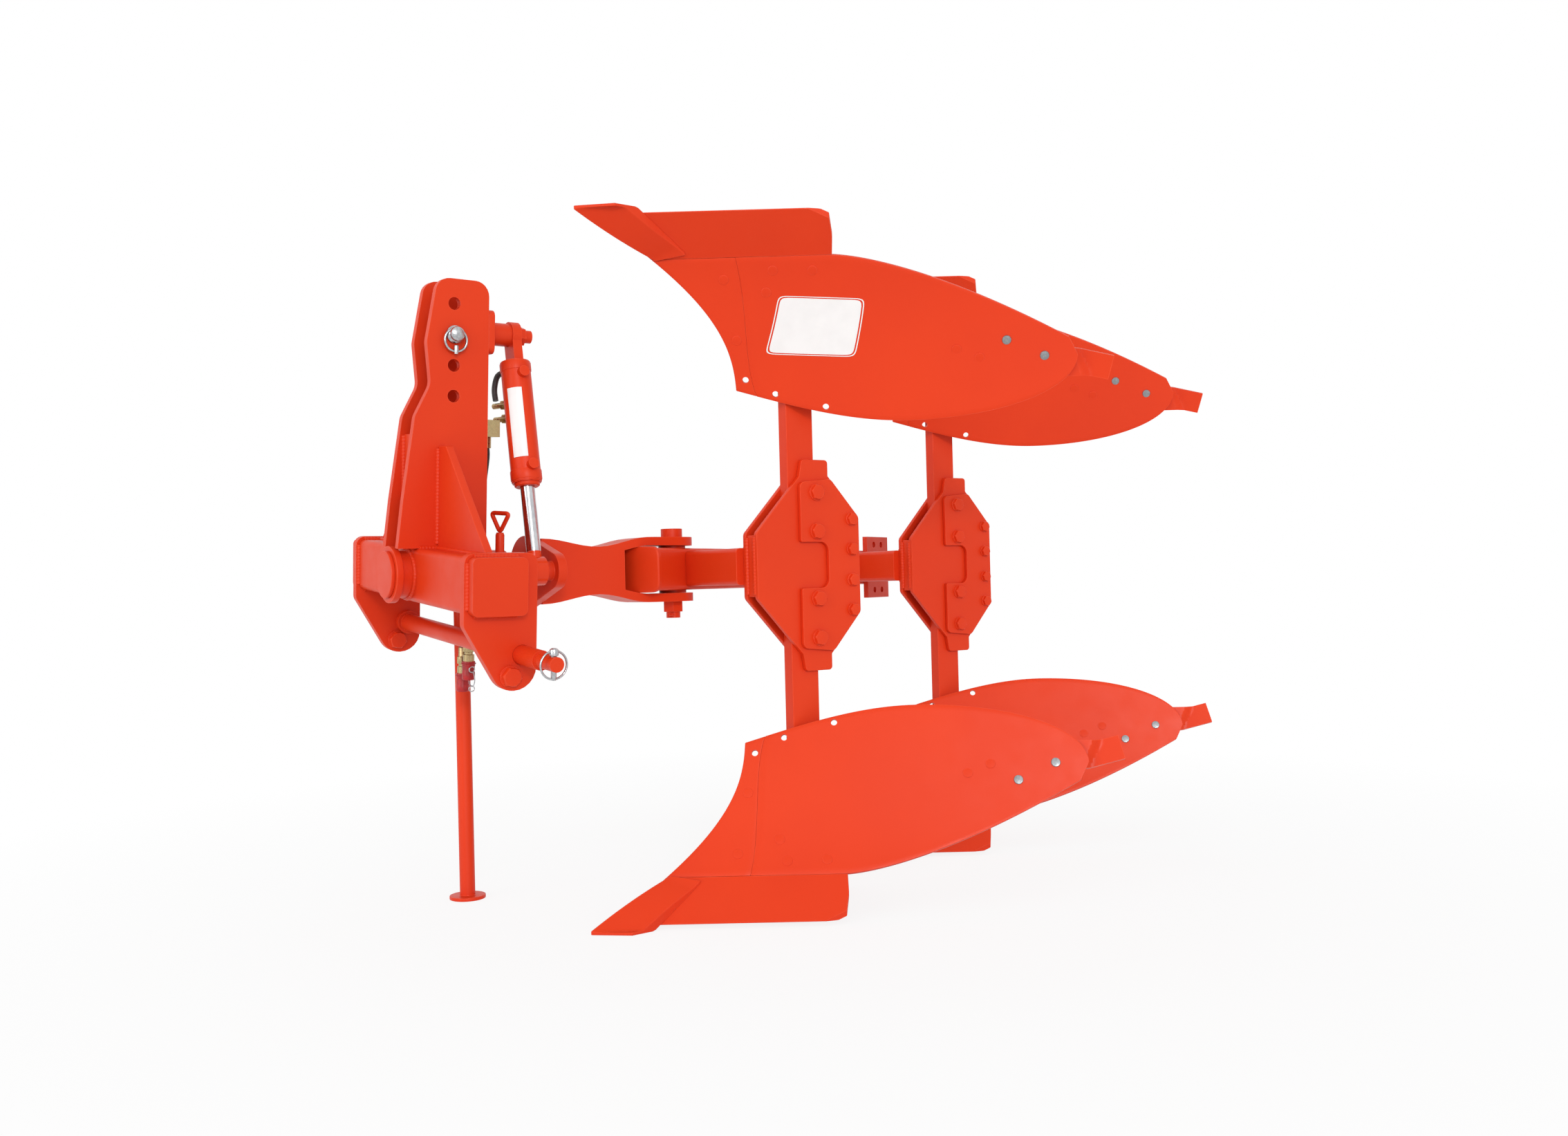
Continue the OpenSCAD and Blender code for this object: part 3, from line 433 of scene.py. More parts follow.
TUBE = 0.110
HALF_TUBE = TUBE / 2
PLATE_Y = 0.325
PLATE_T = 0.020
PLATE_IN = 0.010
MAST_OUT = 0.045
MAST_X = (-0.002, 0.102)
GUSSET_X = (0.047, 0.063)
GUSSET_FOOT = 0.298
GUSSET_Z = (0.063, 0.258)
TIE_X = 0.108
TIE_Y = 0.028
TIE_Z = (0.157, 0.283)
seams = []
for hand in (1.0, -1.0):
    mast = hand * MAST_OUT
    for x in GUSSET_X:
        seams.append(([x, mast, HALF_TUBE], [x, hand * GUSSET_FOOT, HALF_TUBE]))
        seams.append(([x, mast, GUSSET_Z[0]], [x, mast, GUSSET_Z[1]]))
    seams.append(([MAST_X[0], mast, HALF_TUBE], [MAST_X[1], mast, HALF_TUBE]))
    for y in (hand * (PLATE_Y - PLATE_T), hand * PLATE_Y):
        for z in (HALF_TUBE, -HALF_TUBE):
            seams.append(([PLATE_IN, y, z], [TUBE - PLATE_IN, y, z]))
        for x in (TUBE, 0.0):
            seams.append(([x, y, PLATE_IN - HALF_TUBE], [x, y, HALF_TUBE - PLATE_IN]))
    seams.append(([TIE_X, hand * TIE_Y, TIE_Z[0]], [TIE_X, hand * TIE_Y, TIE_Z[1]]))
headstock_beads = make_piece("headstock_welds", [bead_along(*on_headstock(s)) for s in seams],
                             orange_enamel, "headstock", BEAD_SHARP)

# Bearing ring welds: the steel turnover tube runs through the square cross tube and is held by one weld
# bead run right round it on the front face and one on the rear.
BEARING_R = 0.0485
ASKEW = [0.31, 0.52, 0.79]


def round_about(axis, count):
    """The axis as a unit vector, and the ways straight out from it at even turns all round."""
    axis = unit(np.asarray(axis, float))
    first = unit(np.cross(axis, ASKEW))
    around = circle(1.0, count)
    return axis, around[:, :1] * first + around[:, 1:] * np.cross(axis, first)


def closed_round(rows):
    """The skin of a ring of closed profiles, with the first of them joined on behind the last."""
    rows = np.concatenate([rows, rows[:1]])
    return rows.reshape(-1, 3), grid_quads(len(rows), rows.shape[1], True)


def torus(centre, radius, axis, profile, swell):
    """A closed profile carried once round a circle about axis: profile x outwards and profile y along the
    axis, each place scaled by its swell."""
    axis, out = round_about(axis, len(swell))
    spread = swell[:, None, None]
    out = out[:, None, :]
    return closed_round(np.asarray(centre, float) + radius * out
                        + spread * profile[None, :, :1] * out + spread * profile[None, :, 1:] * axis)


def bead_ring(centre, radius, axis):
    """A weld bead once round a circle about axis: a torus whose thickness ripples."""
    length = 2.0 * np.pi * radius
    places = np.linspace(0.0, length, int(length / RIPPLE * RIPPLE_STEPS), endpoint=False)
    return torus(centre, radius, axis, circle(BEAD, BEAD_SIDES), rippled(places))


def headstock_way(way):
    """A direction of the leaning headstock as it lies on the plough."""
    return on_headstock(way) - on_headstock([0.0, 0.0, 0.0])


forward_axis = headstock_way([1.0, 0.0, 0.0])
bearing_beads = make_piece(
    "bearing_welds",
    [bead_ring(on_headstock([x, 0.0, 0.0]), BEARING_R, forward_axis) for x in (TUBE, 0.0)],
    orange_enamel, "headstock", BEAD_SHARP)

# Hitch bar: a turned bar through both end plates, its ends stepped down to the pins that the tractor's
# lower links slip over; a zinc-plated linch pin with a sprung ring holds each link on.
ZINC = (0.56, 0.57, 0.58)
ZINC_DULL = (0.36, 0.37, 0.385)


def plated(name, bright, dull, low, high):
    """Plated metal: bright with dull crystal patches and a fine bloom in its gloss, from low to high."""
    material, tree, shader, coords = new_finish(name)
    cells = tree.nodes.new("ShaderNodeTexVoronoi")
    cells.inputs["Scale"].default_value = 240.0
    tree.links.new(coords, cells.inputs["Vector"])
    patch = remap(tree, cells.outputs["Distance"], low=0.0, high=0.7, start=0.1, end=0.7)
    tree.links.new(blend_colour(tree, patch, bright, dull), shader.inputs["Base Color"])
    bloom = plain_noise(tree, coords, scale=160.0, detail=3.0)
    tree.links.new(remap(tree, bloom, low, high), shader.inputs["Roughness"])
    shader.inputs["Metallic"].default_value = 1.0
    grain = plain_noise(tree, coords, scale=700.0, detail=2.0)
    bump(tree, grain, shader, distance=0.0001, strength=0.3)
    return material


bright_plate = plated("bright_plate", ZINC, ZINC_DULL, low=0.20, high=0.34)
coat(["hitch_bar"], orange_enamel, edge=0.0012)


def turned(profile, base, axis, count=40, corners=0):
    """A profile of (radius, height) turned about axis from base. With corners, the radius swells to those of
    a nut: radius over the cosine of the angle from the nearest flat, where the third column is 1."""
    profile = np.asarray(profile, float)
    axis, out = round_about(axis, count)
    radius = np.repeat(profile[:, :1], count, axis=1)
    if corners:
        turn = np.linspace(0.0, 2.0 * np.pi, count, endpoint=False)
        wedge = 2.0 * np.pi / corners
        off = (turn + wedge / 2) % wedge - wedge / 2
        radius = np.where(profile[:, 2:3] > 0.5, radius / np.cos(off)[None, :], radius)
    points = np.asarray(base, float) + radius[..., None] * out + profile[:, 1][:, None, None] * axis
    return points.reshape(-1, 3), grid_quads(len(profile), count, True)


def ring_of(centre, across, wire, axis, count=48):
    """A round wire bent into a ring about axis: a plain torus."""
    return torus(centre, across / 2, axis, circle(wire / 2, 12), np.ones(count))


down = headstock_way([0.0, 0.0, -1.0])
left = headstock_way([0.0, 1.0, 0.0])
HITCH_SPAN = 0.825
HITCH_DROP = 0.132
LINCH_Y = HITCH_SPAN / 2 + 0.052
LINCH_TOP = 0.026 - HITCH_DROP
LINCH_RING_Z = -0.002 - HITCH_DROP
LINCH_RING = (0.052, 0.0042)
LINCH_PROFILE = [[0, -0.003], [0.004, -0.003], [0.0075, -0.001], [0.0085, 0.002], [0.0085, 0.010],
                 [0.0055, 0.0115], [0.0052, 0.052], [0.0042, 0.056], [0, 0.057]]
linch_parts = []
for hand in (1.0, -1.0):
    linch_parts.append(turned(LINCH_PROFILE, on_headstock([0.0, hand * LINCH_Y, LINCH_TOP]), down))
    linch_parts.append(ring_of(on_headstock([0.0, hand * LINCH_Y, LINCH_RING_Z]), *LINCH_RING, left))
linch_pins = make_piece("linch_pins", linch_parts, bright_plate, "headstock")
SPARE = np.array([0.024, PLATE_Y, -HITCH_DROP - 0.040])
KEEPER = 0.017
KEEPER_WASHER = KEEPER * 1.25
KEEPER_PROFILE = [[0, 0, 0], [KEEPER_WASHER, 0, 0], [KEEPER_WASHER, 0.003, 0], [KEEPER, 0.0035, 1],
                  [KEEPER, 0.014, 1], [KEEPER * 0.97, 0.016, 0], [0, 0.0165, 0]]
keeper_parts = []
for hand in (1.0, -1.0):
    near = on_headstock(SPARE * [1.0, hand, 1.0])
    far = on_headstock((SPARE - [0.0, PLATE_T, 0.0]) * [1.0, hand, 1.0])
    for at, way in ((near, hand * left), (far, -hand * left)):
        keeper_parts.append(turned(KEEPER_PROFILE, at, way, count=36, corners=6))
keepers = make_piece("end_plate_bolts", keeper_parts, orange_enamel, "headstock")

# Top link pin: a turned and zinc-plated pin through both mast plates, with a ball head, a split collar and
# a drop ring of round wire that hangs from the head.
LINK = np.array([0.032, MAST_OUT, 0.488])
LINK_PROFILE = [[0, -0.115], [0.0105, -0.115], [0.0127, -0.112], [0.0127, 0.0005], [0.0175, 0.0015],
                [0.0178, 0.006], [0.0150, 0.0085], [0.0120, 0.0095], [0.0135, 0.0125], [0.0150, 0.0165],
                [0.0140, 0.0205], [0.0090, 0.0240], [0.0, 0.0252]]
LINK_RING_AT = LINK + [0.0, 0.010, -0.012]
LINK_RING = (0.046, 0.005)
DROP_AT = LINK + [0.0, 0.012, -0.026]
DROP_PROFILE = [[0, -0.004], [0.0042, -0.003], [0.0050, 0.0], [0.0042, 0.014], [0.0, 0.015]]
top_pin = make_piece(
    "top_link_pin_dressed",
    [turned(LINK_PROFILE, on_headstock(LINK), left), ring_of(on_headstock(LINK_RING_AT), *LINK_RING, left),
     turned(DROP_PROFILE, on_headstock(DROP_AT), down)],
    bright_plate, "headstock")
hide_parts("top_link_pin")

# Lock pin: a round bar with a collar and a grip of round bar bent into a triangle, pulled up to free the
# turnover; the pin turns freely in its bracket, so the grip stands a little round towards the left.
LOCK = np.array([-0.046, 0.106, 0.0])
LOCK_R = 0.009
LOCK_FOOT = -0.014
COLLAR = (0.0425, 0.0484)
COLLAR_R = (0.0134, 0.0140)
COLLAR_EASE = 0.0008
LOCK_NECK = 0.090
LOCK_PROFILE = [[0, LOCK_FOOT], [LOCK_R - 0.0012, LOCK_FOOT], [LOCK_R, LOCK_FOOT + 0.0012],
                [LOCK_R, COLLAR[0]], [COLLAR_R[0], COLLAR[0]], [COLLAR_R[1], COLLAR[0] + COLLAR_EASE],
                [COLLAR_R[1], COLLAR[1] - COLLAR_EASE], [COLLAR_R[0], COLLAR[1]], [LOCK_R, COLLAR[1]],
                [LOCK_R, LOCK_NECK - 0.005], [LOCK_R - 0.002, LOCK_NECK], [0, LOCK_NECK]]
GRIP_WIRE = 0.009
GRIP_TOP = 0.134 - GRIP_WIRE / 2
GRIP_HALF = 0.026
GRIP_TURN = math.radians(20.0)
GRIP_BEND = 0.2


def rounded_loop(corners, share, steps):
    """A closed way round the corners: straight along each side, and at each corner a curve whose control
    points are the corner and the two places that lie a share of the sides away from it."""
    before = np.roll(corners, 1, axis=0)
    after = np.roll(corners, -1, axis=0)
    start = corners + (before - corners) * share
    end = corners + (after - corners) * share
    t = np.linspace(0.0, 1.0, steps)[None, :, None]
    bend = (1 - t) ** 2 * start[:, None] + 2 * t * (1 - t) * corners[:, None] + t ** 2 * end[:, None]
    return bend.reshape(-1, 3)


grip_side = np.array([-math.sin(GRIP_TURN), math.cos(GRIP_TURN), 0.0])
grip_corners = np.array([LOCK + [0.0, 0.0, LOCK_NECK],
                         LOCK + grip_side * GRIP_HALF + [0.0, 0.0, GRIP_TOP],
                         LOCK - grip_side * GRIP_HALF + [0.0, 0.0, GRIP_TOP]])
grip_way = on_headstock(rounded_loop(grip_corners, GRIP_BEND, 9))
grip_along = unit(np.roll(grip_way, -1, axis=0) - np.roll(grip_way, 1, axis=0))
grip_arms = grip_corners[1:] - grip_corners[0]
grip_flat = headstock_way(unit(np.cross(grip_arms[0], grip_arms[1])))
grip_out = np.cross(grip_along, grip_flat)
grip_ring = circle(GRIP_WIRE / 2, 14)
grip_rows = (grip_way[:, None] + grip_ring[None, :, :1] * grip_out[:, None]
             + grip_ring[None, :, 1:] * grip_flat)
lock_pin = make_piece(
    "lock_pin_bent_grip",
    [turned(LOCK_PROFILE, on_headstock(LOCK), -down, count=32), closed_round(grip_rows)],
    orange_enamel, "headstock")
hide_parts("lock_pin")

# Hydraulic hoses: black rubber hose of 16 mm from the block behind the mast, hanging behind the headstock
# to a brass nut and a quick coupler under a red plastic dust cap, with a wire clip that keeps the caps.
RUBBER = (0.012, 0.012, 0.013)
RUBBER_WORN = (0.032, 0.032, 0.034)
BRASS = (0.50, 0.38, 0.19)
BRASS_DULL = (0.40, 0.30, 0.16)
DUST_CAP = (0.50, 0.010, 0.012)
DUST_CAP_DEEP = (0.33, 0.006, 0.010)
HOSE_D = 0.016
hose_routes = {
    "left": [[-0.056, 0.002, 0.262], [-0.056, 0.002, 0.235], [-0.057, -0.028, 0.150],
             [-0.058, -0.062, 0.070], [-0.058, -0.068, 0.0], [-0.052, -0.060, -0.070],
             [-0.040, -0.038, -0.125], [-0.040, -0.038, -0.155]],
    "right": [[-0.056, -0.030, 0.262], [-0.056, -0.030, 0.235], [-0.057, -0.058, 0.150],
              [-0.058, -0.088, 0.070], [-0.058, -0.096, 0.0], [-0.052, -0.092, -0.080],
              [-0.042, -0.074, -0.150], [-0.042, -0.074, -0.185]],
}


def smooth_route(knots, steps):
    """A curve through the knots: each stretch is the cubic whose slope at a knot is half the way between
    its neighbours."""
    p = np.concatenate([knots[:1], knots, knots[-1:]])
    t = (np.arange(steps) / steps)[None, :, None]
    a, b, c, d = (p[k:len(p) - 3 + k][:, None, :] for k in range(4))
    curve = 0.5 * (2 * b + (c - a) * t + (2 * a - 5 * b + 4 * c - d) * t ** 2
                   + (3 * b - a - 3 * c + d) * t ** 3)
    return np.concatenate([curve.reshape(-1, 3), knots[-1:]])


def closed_tube(path, across):
    """A round tube along a path, shut by a point a hair beyond each end."""
    hair = 1e-4
    first = path[0] - hair * unit(path[1] - path[0])
    last = path[-1] + hair * unit(path[-1] - path[-2])
    swell = np.concatenate([[0.0], np.ones(len(path)), [0.0]])
    return carried(np.concatenate([[first], path, [last]]), circle(across / 2, 20), [1.0, 0.0, 0.0], swell)


def mottled(name, first, second, scale, detail, roughness):
    """A plain skin that drifts between two colours in patches, scale of them to the metre."""
    material, tree, shader, coords = new_finish(name)
    patch = remap(tree, plain_noise(tree, coords, scale, detail), low=0.0, high=1.0)
    tree.links.new(blend_colour(tree, patch, first, second), shader.inputs["Base Color"])
    shader.inputs["Roughness"].default_value = roughness
    return material, tree, shader, coords


hose_rubber, hose_tree, hose_shader, hose_coords = mottled(
    "hose_rubber", RUBBER, RUBBER_WORN, scale=60.0, detail=4.0, roughness=0.48)
wrap = hose_tree.nodes.new("ShaderNodeTexWave")
wrap.bands_direction = "Z"
wrap.inputs["Scale"].default_value = 260.0
wrap.inputs["Distortion"].default_value = 1.5
hose_tree.links.new(hose_coords, wrap.inputs["Vector"])
bump(hose_tree, wrap.outputs["Fac"], hose_shader, distance=0.0003, strength=0.4)
hose_brass = plated("fitting_brass", BRASS, BRASS_DULL, low=0.24, high=0.40)
cap_plastic, cap_tree, cap_shader, cap_coords = mottled(
    "cap_plastic", DUST_CAP, DUST_CAP_DEEP, scale=90.0, detail=3.0, roughness=0.42)
cap_grain = plain_noise(cap_tree, cap_coords, scale=500.0, detail=2.0)
bump(cap_tree, cap_grain, cap_shader, distance=0.0002, strength=0.3)
NUT_PROFILE = [[0, -0.020, 0], [0.0092, -0.020, 0], [0.0102, -0.018, 0], [0.0102, -0.001, 0],
               [0.0108, 0.0, 0], [0.0113, 0.001, 1], [0.0113, 0.015, 1], [0.0108, 0.016, 0],
               [0.0090, 0.0165, 0], [0.0090, 0.021, 0], [0.0118, 0.022, 0], [0.0120, 0.026, 0],
               [0.0120, 0.043, 0], [0.0100, 0.046, 0], [0, 0.046, 0]]
DUST_CAP_PROFILE = [[0, 0.036], [0.0132, 0.036], [0.0140, 0.038], [0.0140, 0.046], [0.0132, 0.047],
                    [0.0132, 0.060], [0.0138, 0.061], [0.0138, 0.073], [0.0120, 0.076], [0, 0.077]]
DUST_CAP_RING_AT = 0.041
DUST_CAP_RING = (0.0285, 0.003)
for hand, knots in hose_routes.items():
    path = on_headstock(smooth_route(np.array(knots), 8))
    hose = make_piece(f"hose_{hand}_rubber", [closed_tube(path, HOSE_D)], hose_rubber, "headstock")
    end = path[-1]
    nut = make_piece(f"coupler_{hand}_nut", [turned(NUT_PROFILE, end, down, count=48, corners=6)],
                     hose_brass, "headstock")
    cap = make_piece(f"coupler_{hand}_cap",
                     [turned(DUST_CAP_PROFILE, end, down),
                      ring_of(end + down * DUST_CAP_RING_AT, *DUST_CAP_RING, down)],
                     cap_plastic, "headstock")
    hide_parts(f"hose_{hand}")
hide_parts("hose_couplers")
CLIP_OFF = [0.0, 0.019, -0.052]
CLIP_WIRE = 0.0022
CLIP_RINGS = [(0.0, 0.012, left), (0.020, 0.032, forward_axis), (0.041, 0.012, left)]
clip_top = on_headstock(np.array(hose_routes["left"][-1]) + CLIP_OFF)
cap_clip = make_piece(
    "cap_keeper_clip",
    [ring_of(clip_top + down * drop, across, CLIP_WIRE, axis) for drop, across, axis in CLIP_RINGS],
    bright_plate, "headstock")
coat(["hose_block"], hose_brass, edge=0.001)

# Stand: a round steel leg with a disc foot welded on, held at its height in a sleeve on the headstock and
# sprayed with the same enamel.
coat(["stand_leg"], orange_enamel, edge=0.0015)

# Turnover: crank plate and forked arm of welded plate, and the beam's pivot pin with its head and split
# pin, sprayed after assembly; the shaft that turns in the bearing is bright steel.
coat(["crank_plate", "turnover_arm"], orange_enamel)
coat(["pivot_pin"], orange_enamel, edge=0.0012)
coat(["turnover_shaft"], bright_plate, edge=0.001)
PIVOT = np.array([-0.514, 0.0, 0.0])
PIN_END = PIVOT - [0.0, 0.0, 0.104]
SPLIT_WAY = np.array([0.6, 0.8, 0.0])
SPLIT_PROFILE = [[0, -0.026], [0.0020, -0.026], [0.0026, -0.024], [0.0026, 0.021], [0, 0.021]]
SPLIT_RING_AT = 0.026
SPLIT_RING = (0.009, 0.0038)
split_pin = make_piece(
    "pivot_split_pin",
    [turned(SPLIT_PROFILE, on_plough(PIN_END), SPLIT_WAY, count=20),
     ring_of(on_plough(PIN_END + SPLIT_WAY * SPLIT_RING_AT), *SPLIT_RING, [0.0, 0.0, 1.0], count=24)],
    orange_enamel, "turnover")
ARM_X = -0.167
ARM_HALF = 0.050
ARM_Z = (0.060, 0.008)
ARM_RING_X = -0.147
ARM_RING_R = 0.036
arm_seams = []
for hand in (1.0, -1.0):
    for y in (ARM_HALF, -ARM_HALF):
        arm_seams.append(([ARM_X, y, hand * ARM_Z[0]], [ARM_X, y, hand * ARM_Z[1]]))
arm_beads = make_piece("turnover_welds", [bead_along(*on_plough(s)) for s in arm_seams]
                       + [bead_ring(on_plough([ARM_RING_X, 0.0, 0.0]), ARM_RING_R, [1.0, 0.0, 0.0])],
                       orange_enamel, "turnover", BEAD_SHARP)

# Cylinder: a drawn barrel in enamel with a gland nut and a head collar, a hard-chromed rod with a painted
# eye, and a plain white vinyl label stuck round the side that faces left.
coat(["cylinder_barrel"], orange_enamel, edge=0.0012)
MAST_PIN = 0.5
TRUNNION = MAST_PIN * np.array([0.0, math.sin(LEAN), math.cos(LEAN)])
CRANK = np.array([0.0, 0.135, 0.0])
CYLINDER_BACK = -0.113
rod_way = unit(TRUNNION - CRANK)
foot = on_plough(CRANK + [CYLINDER_BACK, 0.0, 0.0])
cylinder_len = float(np.linalg.norm(TRUNNION - CRANK))
CHROME = (0.60, 0.61, 0.63)
CHROME_DIM = (0.50, 0.51, 0.54)
ROD_EYE = 0.040
PAINT_EDGE = 0.001
chrome, chrome_tree, chrome_shader, chrome_coords = new_finish("hard_chrome")
reach = chrome_tree.nodes.new("ShaderNodeVectorMath")
reach.operation = "DOT_PRODUCT"
reach.inputs[1].default_value = tuple(rod_way)
chrome_tree.links.new(chrome_coords, reach.inputs[0])
eye_at = float(foot @ rod_way) + ROD_EYE
bare = remap(chrome_tree, reach.outputs["Value"], low=0.0, high=1.0, start=eye_at, end=eye_at + PAINT_EDGE)
haze = plain_noise(chrome_tree, chrome_coords, scale=40.0, detail=2.0)
bright = blend_colour(chrome_tree, remap(chrome_tree, haze, low=0.0, high=1.0), CHROME, CHROME_DIM)
chrome_tree.links.new(blend_colour(chrome_tree, bare, ENAMEL, bright), chrome_shader.inputs["Base Color"])
chrome_tree.links.new(bare, chrome_shader.inputs["Metallic"])
honed = plain_noise(chrome_tree, chrome_coords, scale=300.0, detail=3.0)
chrome_tree.links.new(remap(chrome_tree, honed, low=0.12, high=0.22), chrome_shader.inputs["Roughness"])
chrome_shader.inputs["Specular IOR Level"].default_value = 0.24
coat(["cylinder_rod"], chrome, edge=0.001)
BARREL_R = 0.031
BARREL_LOW = cylinder_len - 0.318
GLAND_PROFILE = [[0.0153, -0.010], [0.0240, -0.010], [0.0262, -0.008], [0.0262, 0.002], [0.0318, 0.003],
                 [0.0325, 0.005], [0.0325, 0.022], [0.0318, 0.024], [0.0300, 0.024], [0.0300, -0.002],
                 [0.0153, -0.002], [0.0153, -0.010]]
HEAD_COLLAR = cylinder_len - 0.078
HEAD_PROFILE = [[0.0300, -0.003], [0.0322, -0.002], [0.0325, 0.0], [0.0325, 0.014], [0.0318, 0.016],
                [0.0300, 0.016], [0.0300, -0.003]]
gland = make_piece(
    "cylinder_gland",
    [turned(GLAND_PROFILE, foot + rod_way * BARREL_LOW, rod_way, count=56),
     turned(HEAD_PROFILE, foot + rod_way * HEAD_COLLAR, rod_way, count=56)],
    orange_enamel, "barrel")
VINYL = (0.86, 0.86, 0.85)
VINYL_GREY = (0.83, 0.83, 0.82)
white_vinyl, vinyl_tree, vinyl_shader, vinyl_coords = mottled(
    "white_vinyl", VINYL, VINYL_GREY, scale=30.0, detail=4.0, roughness=0.36)
vinyl_grain = plain_noise(vinyl_tree, vinyl_coords, scale=250.0, detail=2.0)
bump(vinyl_tree, vinyl_grain, vinyl_shader, distance=0.0001, strength=0.25)
LABEL_AT = math.radians(38.0)
LABEL_HALF = 0.50
LABEL_RISE = (0.048, 0.196)
LABEL_LIFT = (0.0007, 0.0001)
ahead = np.array([1.0, 0.0, 0.0])
outward = unit(np.cross(rod_way, ahead))
label_turn = LABEL_AT + np.linspace(-LABEL_HALF, LABEL_HALF, 17)[None, :, None]
label_rise = BARREL_LOW + np.linspace(*LABEL_RISE, 25)[:, None, None]
label_out = np.cos(label_turn) * outward + np.sin(label_turn) * ahead
label_faces = [foot + label_rise * rod_way + (BARREL_R + lift) * label_out for lift in LABEL_LIFT]


def plate_shell(front, back):
    """A closed thin plate between two grids of points: both faces, and the strips that join their rims."""
    rows, cols = front.shape[:2]
    count = rows * cols
    face = grid_quads(rows, cols, False)
    index = np.arange(count).reshape(rows, cols)
    rim = np.concatenate([index[0, :], index[1:, -1], index[-1, -2::-1], index[-2:0:-1, 0]])
    after = np.roll(rim, -1)
    strip = np.stack([rim, after, after + count, rim + count], -1)
    points = np.concatenate([front.reshape(-1, 3), back.reshape(-1, 3)])
    return points, np.concatenate([face, face[:, ::-1] + count, strip])


make_piece("cylinder_blank_label", [plate_shell(*label_faces)], white_vinyl, "barrel")

# Ports: two brass elbows screwed into the barrel's side towards the mast, with a short black hose looped
# from the upper one to the head of the barrel.
port_way = unit(np.array([0.35, -0.937, 0.0]))
PORT_RISE = (0.140, 0.170)
PORT_END = BARREL_R + 0.044
PORT_PROFILE = [[0, 0.024, 0], [0.0085, 0.024, 0], [0.0085, 0.036, 0], [0.0090, 0.037, 1], [0.0090, 0.049, 1],
                [0.0070, 0.050, 0], [0.0060, 0.051, 0], [0.0060, PORT_END, 0], [0, PORT_END, 0]]
ports = make_piece(
    "barrel_elbows",
    [turned(PORT_PROFILE, foot + rod_way * (BARREL_LOW + rise), port_way, count=36, corners=6)
     for rise in PORT_RISE],
    hose_brass, "barrel")
LOOP_D = 0.012
LOOP_RISE = BARREL_LOW + PORT_RISE[1] + np.array([[0.012], [0.038], [0.064], [0.072]])
LOOP_OUT = np.array([[0.068], [0.068], [0.056], [0.034]])
loop_knots = foot + LOOP_RISE * rod_way + LOOP_OUT * port_way
port_loop = make_piece("barrel_hose_loop", [closed_tube(smooth_route(loop_knots, 10), LOOP_D)],
                       hose_rubber, "barrel")

# Beam: slanting square steel tube with two stubs and a drilled flange at its rear for a further body, all
# welded; a pressed cap with round corners shuts its front end.
coat(["main_beam", "beam_stubs", "extension_flange"], orange_enamel)
PITCH = np.array([0.700, 0.325])
BEAM_TURN = math.atan2(PITCH[1], PITCH[0])
BEAM_FRONT = 0.125
END_CAP = 0.0515
END_CAP_POWER = 5.5
END_CAP_ALONG = BEAM_FRONT + np.array([-0.011, -0.011, -0.010, -0.002, 0.0004, 0.0016, 0.0016])
END_CAP_HALF = np.array([0.0, END_CAP - 0.001, END_CAP, END_CAP, END_CAP - 0.002, END_CAP - 0.007, 0.0])


def on_beam(points):
    """Places points given from the beam's pivot (forward along the beam, left of it, up) on the plough."""
    p = np.asarray(points, float)
    slanting = np.stack([p[..., 0] * math.cos(BEAM_TURN) - p[..., 1] * math.sin(BEAM_TURN),
                         p[..., 0] * math.sin(BEAM_TURN) + p[..., 1] * math.cos(BEAM_TURN), p[..., 2]], -1)
    return slanting + AXIS + PIVOT


def square_rim(turn, power):
    """The rim of a square with round corners at a turn: the place whose coordinates, raised to a high power,
    add up to 1."""
    x, y = np.cos(turn), np.sin(turn)
    rim = (np.abs(x) ** power + np.abs(y) ** power) ** (-1.0 / power)
    return rim * x, rim * y


def round_square(along, half, count=64):
    """Rings of a square with round corners: one for each place along the beam, with its half width."""
    x, y = square_rim(np.linspace(0.0, 2.0 * np.pi, count, endpoint=False), END_CAP_POWER)
    half = half[:, None]
    rings = on_beam(np.stack([along[:, None] + 0.0 * x, half * x, half * y], -1))
    return rings.reshape(-1, 3), grid_quads(len(half), count, True)


beam_cap = make_piece("beam_end_cap", [round_square(END_CAP_ALONG, END_CAP_HALF)], orange_enamel, "beam")

# Hangers: each is a pair of flame-cut plates round the two legs, with a web, a notched cover plate and
# painted hexagon bolts through them; the legs are flat bars.
coat(["hanger_plates_front", "hanger_plates_rear", "hanger_webs", "hanger_covers", "legs_front", "legs_rear"],
     orange_enamel)
LEG_BACK = 0.665
LEG_LEFT = 0.290
HANGER_Y = 0.027
COVER_T = 0.010
WASHER_T = 0.003


def on_leg(i, points):
    """Places points given from leg i (forward, left, above the axis) on the plough."""
    return np.asarray(points, float) + AXIS + [-LEG_BACK - i * PITCH[0], LEG_LEFT - i * PITCH[1], 0.0]


def bolt_head(at, way, across, tall, washer):
    """A hexagon head on a washer: the six-sided radius is cut to a cone at the top by its chamfer."""
    flat = across / 2
    crown = tall + 0.0006
    profile = [[0, 0, 0], [washer, 0, 0], [washer, 0.0022, 0], [washer - 0.0006, WASHER_T, 0],
               [flat, WASHER_T, 1], [flat, tall - 0.0015, 1], [flat * 0.98, tall, 0], [flat * 0.5, crown, 0],
               [0, crown, 0]]
    return turned(profile, at, way, count=36, corners=6)


